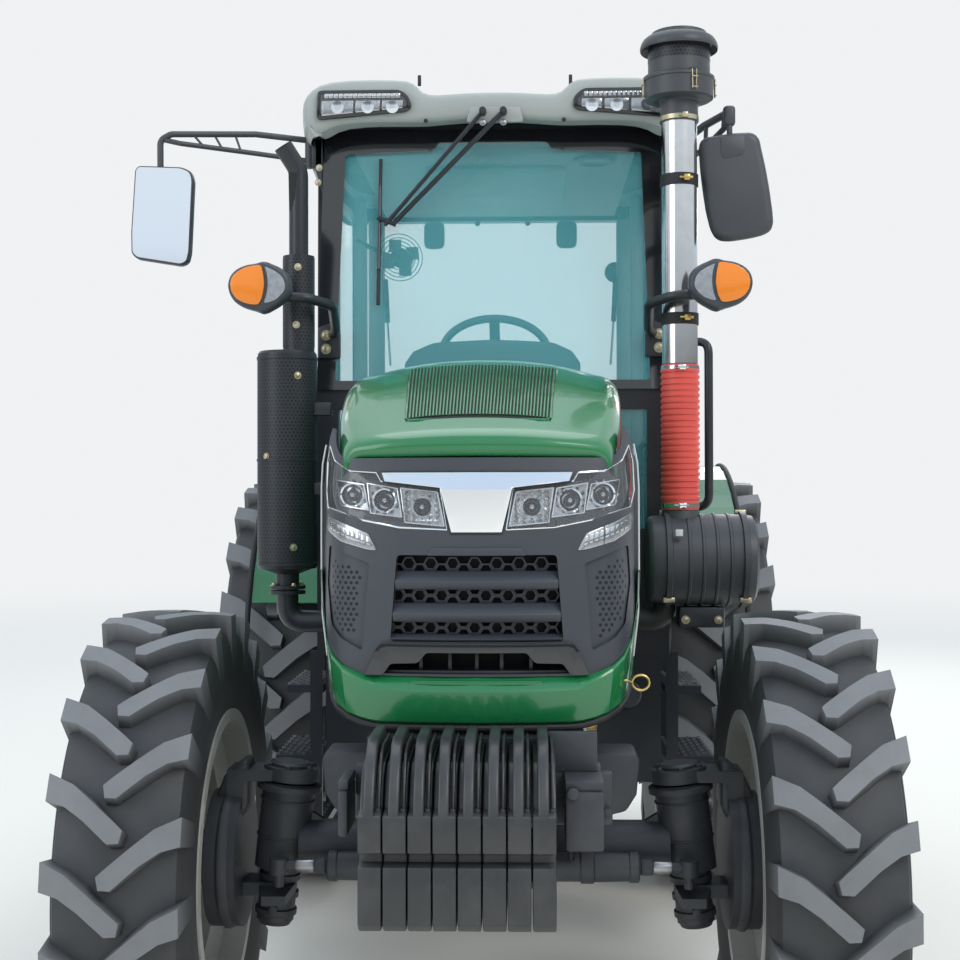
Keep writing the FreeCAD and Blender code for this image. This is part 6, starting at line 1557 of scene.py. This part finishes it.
def corner_lamps():
    """Corner lamps beside the hood and tail lamps on the fenders."""
    lamps = Piece("corner_lamps", "mask plastic", "orange lens", "lens", "lamp inside")
    egg = [
        (0.598, 2.209), (0.6, 2.236), (0.612, 2.256), (0.635, 2.271), (0.657, 2.28), (0.672, 2.287), (0.687, 2.288),
        (0.704, 2.282), (0.736, 2.278), (0.765, 2.265), (0.784, 2.246), (0.792, 2.218), (0.786, 2.189), (0.771, 2.166),
        (0.749, 2.151), (0.723, 2.142), (0.702, 2.137), (0.687, 2.129), (0.67, 2.133), (0.657, 2.14), (0.631, 2.155),
        (0.609, 2.176), (0.599, 2.194),
    ]
    clear = [
        (0.613, 2.209), (0.616, 2.228), (0.628, 2.246), (0.648, 2.259), (0.669, 2.269), (0.677, 2.271), (0.669, 2.244),
        (0.667, 2.214), (0.672, 2.183), (0.68, 2.16), (0.667, 2.16), (0.644, 2.168), (0.625, 2.184), (0.615, 2.199),
    ]
    amber = [
        (0.687, 2.275), (0.706, 2.274), (0.736, 2.268), (0.76, 2.255), (0.776, 2.238), (0.781, 2.216), (0.776, 2.192),
        (0.762, 2.173), (0.742, 2.162), (0.716, 2.155), (0.694, 2.155), (0.683, 2.179), (0.677, 2.214), (0.68, 2.248),
    ]
    for hand in (1, -1):
        lamps.slab(rounded(on_side(hand, egg), 0.02), 0.594, 0.056, "y", 0.018, 0, 5)
        for points, mat in ((clear, 2), (amber, 1)):
            points = rounded(on_side(hand, points), 0.008)
            lamps.slab(grow(points, -0.001), 0.5925, 0.004, "y", 0, 3)
            lamps.slab(points, 0.5885, 0.0065, "y", 0.002, mat)
        lamps.rod((0.70 * hand, 0.645, 2.16), (0.70 * hand, 0.665, 2.16), 0.022, sides=18)
    tail = Piece("tail_lamps", "dark plastic", "red lens", "orange lens")
    y1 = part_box("work_lamps")[1].y - DATUM.y
    for hand in (1, -1):
        a, b = (0.70, 0.90) if hand > 0 else (-0.90, -0.70)
        tail.box((a, y1 - 0.06, 1.15), (b, y1 - 0.004, 1.27), 0.008, 0)
        tail.box((a + 0.008, y1 - 0.008, 1.158), (b - 0.075, y1 - 0.0002, 1.262), 0.003, 1)
        tail.box((b - 0.072, y1 - 0.008, 1.158), (b - 0.008, y1 - 0.0002, 1.262), 0.003, 2)
    lamps.done("tractor", ("work_lamps",))
    tail.done("tractor", ())


# Fenders, steps, doors and the rear


DOOR_EDGE = (  # of the pane: ahead of the hinge, height
    (0.035, 1.775), (0.035, 2.747), (0.805, 2.747), (0.982, 1.94), (0.982, 1.155), (0.545, 1.155), (0.405, 1.535),
    (0.075, 1.775), (0.035, 1.775),
)
# Tubes of a door: points as (ahead of the hinge, height, out of the pane), radius, bend, sides, material
DOOR_SEAL = ([(*p, 0.0015) for p in DOOR_EDGE], 0.007, 0.03, 8, 1)
DOOR_GRIP = ([(0.90, 1.60, 0.0), (0.90, 1.60, 0.045), (0.78, 1.60, 0.045), (0.78, 1.60, 0.0)], 0.009, 0.02, 12, 0)
DOOR_PULL = (
    [(0.955, 1.30, -0.045), (0.955, 1.30, -0.09), (0.955, 1.75, -0.09), (0.955, 1.75, -0.045)], 0.011, 0.03, 12, 0
)


def build_sides():
    piece = Piece("fender_trim", "rubber seal")
    angles = [math.radians(8 + 164 * k / 40) for k in range(41)]
    for hand in (1, -1):
        path = [(0.93 * hand, 2.5 + 0.882 * math.cos(a), 0.82 + 0.882 * math.sin(a)) for a in angles]
        piece.tube(path, 0.011, 0, 10)
    piece.done("tractor", ())
    piece = Piece("step_treads", "bare steel", "black paint", "brass", "dark plastic")
    for hand in (1, -1):
        for k in range(3):
            top = 0.45 + 0.235 * k + 0.0255
            x1 = 0.77 - 0.04 * k
            for j in range(7):
                x = 0.59 + (x1 - 0.60) * j / 6
                for i in range(j % 2, 13, 2):
                    y = 1.13 + 0.03 * i
                    piece.box((x * hand, y, top - 0.001), ((x + 0.012) * hand, y + 0.014, top + 0.004), 0)
    # tank straps, fillers and taps
    for y in (1.16, 1.46):
        piece.tube([(0.5515, y, 0.66), (0.5515, y, 1.04)], 0.008, 0, 8, 1)
        piece.tube([(-0.5515, y, 0.72), (-0.5515, y, 1.04)], 0.008, 0, 8, 1)
    piece.lathe([(0, 0.045), (0.02, 0.045), (0.026, 0.04), (0.026, 0)], (0.44, 1.028, 0.93), FRONT, 32, 3)
    piece.bolts([(-0.44, 1.028, 0.95), (-0.38, 1.028, 0.78)], FRONT, 0.012, 0.01)
    piece.tube([(0.30, 0.55, 0.905), (0.30, 0.50, 0.905)], 0.012, 0, 12, 2)
    piece.rod((0.285, 0.5, 0.905), (0.315, 0.5, 0.905), 0.014, sides=12, mat=2)
    piece.done("tractor", ())
    for word, hand in (("left", 1), ("right", -1)):
        piece = Piece("door_fittings_" + word, "dark plastic", "rubber seal")
        hinge = Vector((0.70 * hand, 2.08, 0))
        turn = Matrix.Translation(hinge) @ Matrix.Rotation(math.radians(-7.06 * hand), 4, "Z")
        for points, radius, bend, sides, mat in (DOOR_SEAL, DOOR_GRIP, DOOR_PULL):
            path = [turn @ Vector((out * hand, -ahead, z)) for ahead, z, out in points]
            piece.tube(path, radius, bend, sides, mat)
        for z in (1.818, 1.92, 2.608, 2.71):
            piece.rod(hinge + Z * z, hinge + Z * (z + 0.012), 0.012, sides=16)
        piece.done("door_" + word, ())


def build_rear():
    piece = Piece("rear_fittings", "casting", "zinc", "dark plastic")
    y = 2.76
    piece.lathe([(0, 0.125), (0.018, 0.122), (0.022, 0.06), (0.03, 0.05), (0.03, 0.0178)], (0, y, 0.66), Y, 48)
    piece.bolts(circle((0, y + 0.018, 0.66), 0.10, 8, X, Z), Y, 0.009, 0.008, 1)
    piece.bolts([(x, y, z) for x in (-0.21, -0.12, 0.12, 0.21) for z in (0.80, 0.97)], Y, 0.011, 0.009, 1)
    piece.bolts([(x, y, 0.53) for x in (-0.21, -0.07, 0.07, 0.21)], Y, 0.011, 0.009, 1)
    half_guard = [(0.14, 0.80), (0.14, 0.70), (0.133, 0.70), (0.133, 0.793)]
    piece.slab(half_guard + on_side(-1, half_guard), y, 0.13, "y", 0.002)
    for k in range(3):
        x = -0.20 + 0.055 * k
        piece.box((x - 0.02, y, 0.865), (x + 0.02, y + 0.05, 0.93), 0.004, 0)
        piece.lathe([(0, 0.016), (0.02, 0.016), (0.024, 0.012), (0.024, 0)], (x, y + 0.05, 0.898), Y, 20, 2)
    piece.done("tractor", ())
    grooves = Piece("shaft_splines", "bare steel")
    for k in range(6):
        spline = cube((0.0085, 0.075, 0.006), 0.001, 1)
        bmesh.ops.translate(spline, vec=(0, y + 0.055, 0.0165), verts=spline.verts)
        place = Matrix.Translation((0, 0, 0.66)) @ Matrix.Rotation(math.tau * k / 6, 4, "Y")
        grooves.merge(spline, 0, place)
    grooves.done("pto_shaft", ())


# Stage


BACKDROP = (0.87, 0.885, 0.9, 1)
FLOOR = (0.86, 0.825, 0.75, 1)
SKY = (  # height from straight down to straight up as a share, and tone
    (0.0, (0.55, 0.52, 0.46)),
    (1.0, (0.62, 0.78, 1.0)),
    (0.485, (0.5, 0.47, 0.42)),
    (0.5, (0.1, 0.1, 0.09)),
    (0.545, (0.2, 0.22, 0.24)),
    (0.58, (0.75, 0.84, 0.95)),
    (0.8, (0.9, 0.97, 1.0)),
)
LIGHTS = (  # name, place, target, size, power, tint
    ("key", (5.5, -7.0, 8.0), (0, -0.5, 1.2), 4.0, 300, (1.0, 0.97, 0.92)),
    ("fill", (-7.0, -6.0, 4.5), (0, 0, 1.2), 5.0, 170, (0.92, 0.96, 1.0)),
    ("top", (0.0, 1.0, 9.0), (0, 0, 1.0), 6.0, 160, (1, 1, 1)),
    ("back", (3.0, 9.0, 6.0), (0, 0, 1.5), 4.0, 150, (1, 1, 1)),
)
FOCAL = 1500  # focal length of the matched camera, in pixels of a picture PICTURE pixels wide
PICTURE = 960
SENSOR = 36


def build_stage():
    """Pale floor that fades into a plain backdrop, a soft sky, four lamps and the camera."""
    scene = bpy.context.scene
    floor = bmesh.new()
    bmesh.ops.create_grid(floor, x_segments=1, y_segments=1, size=60)
    mesh = linked("floor", floor)
    mat = bpy.data.materials.new("pale floor")
    tree, shader = nodes_of(mat)
    fill(tree, shader, {"Base Color": FLOOR, "Roughness": 0.9})
    where = node(tree, "TexCoord").outputs["Object"]
    away = node(tree, "VectorMath", {0: where}, operation="LENGTH").outputs["Value"]
    reach = {"Value": away, "From Min": 4, "From Max": 22}
    fade = node(tree, "MapRange", reach, interpolation_type="SMOOTHSTEP").outputs["Result"]
    glow = node(tree, "Emission", {"Color": BACKDROP})
    mix = node(tree, "MixShader", {"Fac": fade, 1: shader.outputs[0], 2: glow.outputs[0]})
    fill(tree, tree.nodes["Material Output"], {"Surface": mix.outputs[0]})
    mesh.materials.append(mat)
    added("floor", mesh)
    world = scene.world = bpy.data.worlds.new("studio")
    world.use_nodes = True
    tree = world.node_tree
    axes = node(tree, "SeparateXYZ", {0: node(tree, "TexCoord").outputs["Generated"]})
    ramp = node(tree, "ValToRGB", {"Fac": maths(tree, "MULTIPLY_ADD", axes.outputs["Z"], 0.5, 0.5)})
    stops = ramp.color_ramp.elements
    for k, (place, tone) in enumerate(SKY):
        stop = stops[k] if k < 2 else stops.new(place)
        stop.color = (*tone, 1)
    seen = node(tree, "LightPath").outputs["Is Camera Ray"]
    sky = node(tree, "Mix", {"A": ramp.outputs["Color"], "B": BACKDROP, "Factor": seen}, data_type="RGBA")
    fill(tree, tree.nodes["Background"], {"Color": sky.outputs["Result"]})
    for name, place, target, size, power, tint in LIGHTS:
        light = bpy.data.lights.new(name, "AREA")
        light.shape = "SQUARE"
        light.size = size
        light.energy = power
        light.color = tint
        lamp = added(name, light)
        lamp.location = place
        lamp.rotation_euler = (Vector(target) - Vector(place)).to_track_quat("-Z", "Y").to_euler()
    camera = bpy.data.cameras.new("camera")
    camera.sensor_width = SENSOR
    camera.lens = SENSOR * FOCAL / PICTURE
    scene.camera = added("camera", camera)
    scene.camera.location = DATUM + Vector((0.11, -3.9, 1.58))
    scene.camera.rotation_euler = (math.pi / 2 + 0.01, 0.002, 0.0307)
    scene.view_settings.view_transform = "Standard"


class TractorSizes(bpy.types.PropertyGroup):
    """Sizes that a user may change."""

    lug_height: bpy.props.FloatProperty(
        name="Lug height",
        description="How far the lugs stand out of the tyre's carcass",
        default=0.038,
        unit="LENGTH",
    )


class TRACTOR_OT_tyres(bpy.types.Operator):
    """Builds the lugged tyres"""

    bl_idname = "tractor.tyres"
    bl_label = "Tyres"

    def execute(self, context):
        build_tyres(context.scene.tractor_sizes.lug_height)
        return {"FINISHED"}


class TRACTOR_OT_nose(bpy.types.Operator):
    """Builds the nose's mask, lamps, bright bar and apron"""

    bl_idname = "tractor.nose"
    bl_label = "Nose"

    def execute(self, context):
        build_nose()
        return {"FINISHED"}


class TRACTOR_OT_hood(bpy.types.Operator):
    """Builds the hood's skin and its top vent"""

    bl_idname = "tractor.hood"
    bl_label = "Hood"

    def execute(self, context):
        build_hood()
        return {"FINISHED"}


class TRACTOR_OT_weights(bpy.types.Operator):
    """Builds the weight pack and its brackets"""

    bl_idname = "tractor.weights"
    bl_label = "Weights"

    def execute(self, context):
        build_weights()
        return {"FINISHED"}


class TRACTOR_OT_axle(bpy.types.Operator):
    """Builds the fittings of the front axle and its knuckles"""

    bl_idname = "tractor.axle"
    bl_label = "Axle"

    def execute(self, context):
        build_axle()
        return {"FINISHED"}


class TRACTOR_OT_rims(bpy.types.Operator):
    """Builds the wheels' bolts, clamps and valves"""

    bl_idname = "tractor.rims"
    bl_label = "Rims"

    def execute(self, context):
        build_rims()
        return {"FINISHED"}


class TRACTOR_OT_stacks(bpy.types.Operator):
    """Builds the exhaust, the intake and the air cleaner"""

    bl_idname = "tractor.stacks"
    bl_label = "Stacks"

    def execute(self, context):
        build_stacks()
        return {"FINISHED"}


class TRACTOR_OT_roof(bpy.types.Operator):
    """Builds the roof and its lamps"""

    bl_idname = "tractor.roof"
    bl_label = "Roof"

    def execute(self, context):
        build_roof()
        return {"FINISHED"}


class TRACTOR_OT_cab(bpy.types.Operator):
    """Builds the windscreen's band, the wipers and the cab's inside"""

    bl_idname = "tractor.cab"
    bl_label = "Cab"

    def execute(self, context):
        build_cab()
        return {"FINISHED"}


class TRACTOR_OT_seat(bpy.types.Operator):
    """Builds the seat's stuffed pads and its base"""

    bl_idname = "tractor.seat"
    bl_label = "Seat"

    def execute(self, context):
        build_seat()
        return {"FINISHED"}


class TRACTOR_OT_mirrors(bpy.types.Operator):
    """Builds the mirrors, their arms and the corner lamps"""

    bl_idname = "tractor.mirrors"
    bl_label = "Mirrors"

    def execute(self, context):
        build_mirrors()
        return {"FINISHED"}


class TRACTOR_OT_sides(bpy.types.Operator):
    """Builds the trim of the fenders, steps and doors"""

    bl_idname = "tractor.sides"
    bl_label = "Sides"

    def execute(self, context):
        build_sides()
        return {"FINISHED"}


class TRACTOR_OT_rear(bpy.types.Operator):
    """Builds the fittings of the rear axle"""

    bl_idname = "tractor.rear"
    bl_label = "Rear"

    def execute(self, context):
        build_rear()
        return {"FINISHED"}


class TRACTOR_OT_stage(bpy.types.Operator):
    """Builds the floor, the lights and the camera"""

    bl_idname = "tractor.stage"
    bl_label = "Stage"

    def execute(self, context):
        build_stage()
        return {"FINISHED"}


class TRACTOR_PT_panel(bpy.types.Panel):
    """Lists the tractor's operators"""

    bl_idname = "TRACTOR_PT_panel"
    bl_label = "Tractor"
    bl_space_type = "VIEW_3D"
    bl_region_type = "UI"
    bl_category = "Tractor"

    def draw(self, context):
        for step in STEPS:
            self.layout.operator(step.bl_idname)


STEPS = (
    TRACTOR_OT_tyres,
    TRACTOR_OT_nose,
    TRACTOR_OT_hood,
    TRACTOR_OT_weights,
    TRACTOR_OT_axle,
    TRACTOR_OT_rims,
    TRACTOR_OT_stacks,
    TRACTOR_OT_roof,
    TRACTOR_OT_cab,
    TRACTOR_OT_seat,
    TRACTOR_OT_mirrors,
    TRACTOR_OT_sides,
    TRACTOR_OT_rear,
    TRACTOR_OT_stage,
)
CLASSES = (TractorSizes, *STEPS, TRACTOR_PT_panel)

CAD_FINISH = {  # finish, and the CAD nodes that have it
    "casting": (
        "engine_block front_frame weight_carrier front_axle transmission_housing drawbar knuckle_left "
        "knuckle_right steering_rod"
    ),
    "weight casting": "front_weights",
    "black paint": (
        "cab_floor cab_frame side_tanks cab_steps cab_tubework muffler exhaust_pipe door_left door_right "
        "lower_links lift_arms"
    ),
    "roof plastic": "cab_roof",
    "cab glass": "fixed_glass door_glass_left door_glass_right",
    "green paint": "rear_fenders",
    "dark plastic": "work_lamps mirrors dash_console pre_cleaner air_cleaner steering_wheel",
    "seat cloth": "seat",
    "polished tube": "intake_pipe",
    "red hose": "intake_hose",
    "bare steel": "top_link lift_rods pto_shaft",
    "rim paint": "rim_front_left rim_front_right rim_rear_left rim_rear_right",
}


def finish_cad():
    for look, names in CAD_FINISH.items():
        for name in names.split():
            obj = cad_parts[name]
            obj.data.materials.clear()
            obj.data.materials.append(material(look))


def register():
    for cls in CLASSES:
        bpy.utils.register_class(cls)
    bpy.types.Scene.tractor_sizes = bpy.props.PointerProperty(type=TractorSizes)


def unregister():
    del bpy.types.Scene.tractor_sizes
    for cls in reversed(CLASSES):
        bpy.utils.unregister_class(cls)


def main():
    register()
    finish_cad()
    for step in STEPS:
        area, name = step.bl_idname.split(".")
        getattr(getattr(bpy.ops, area), name)()


if __name__ == "__main__":
    main()
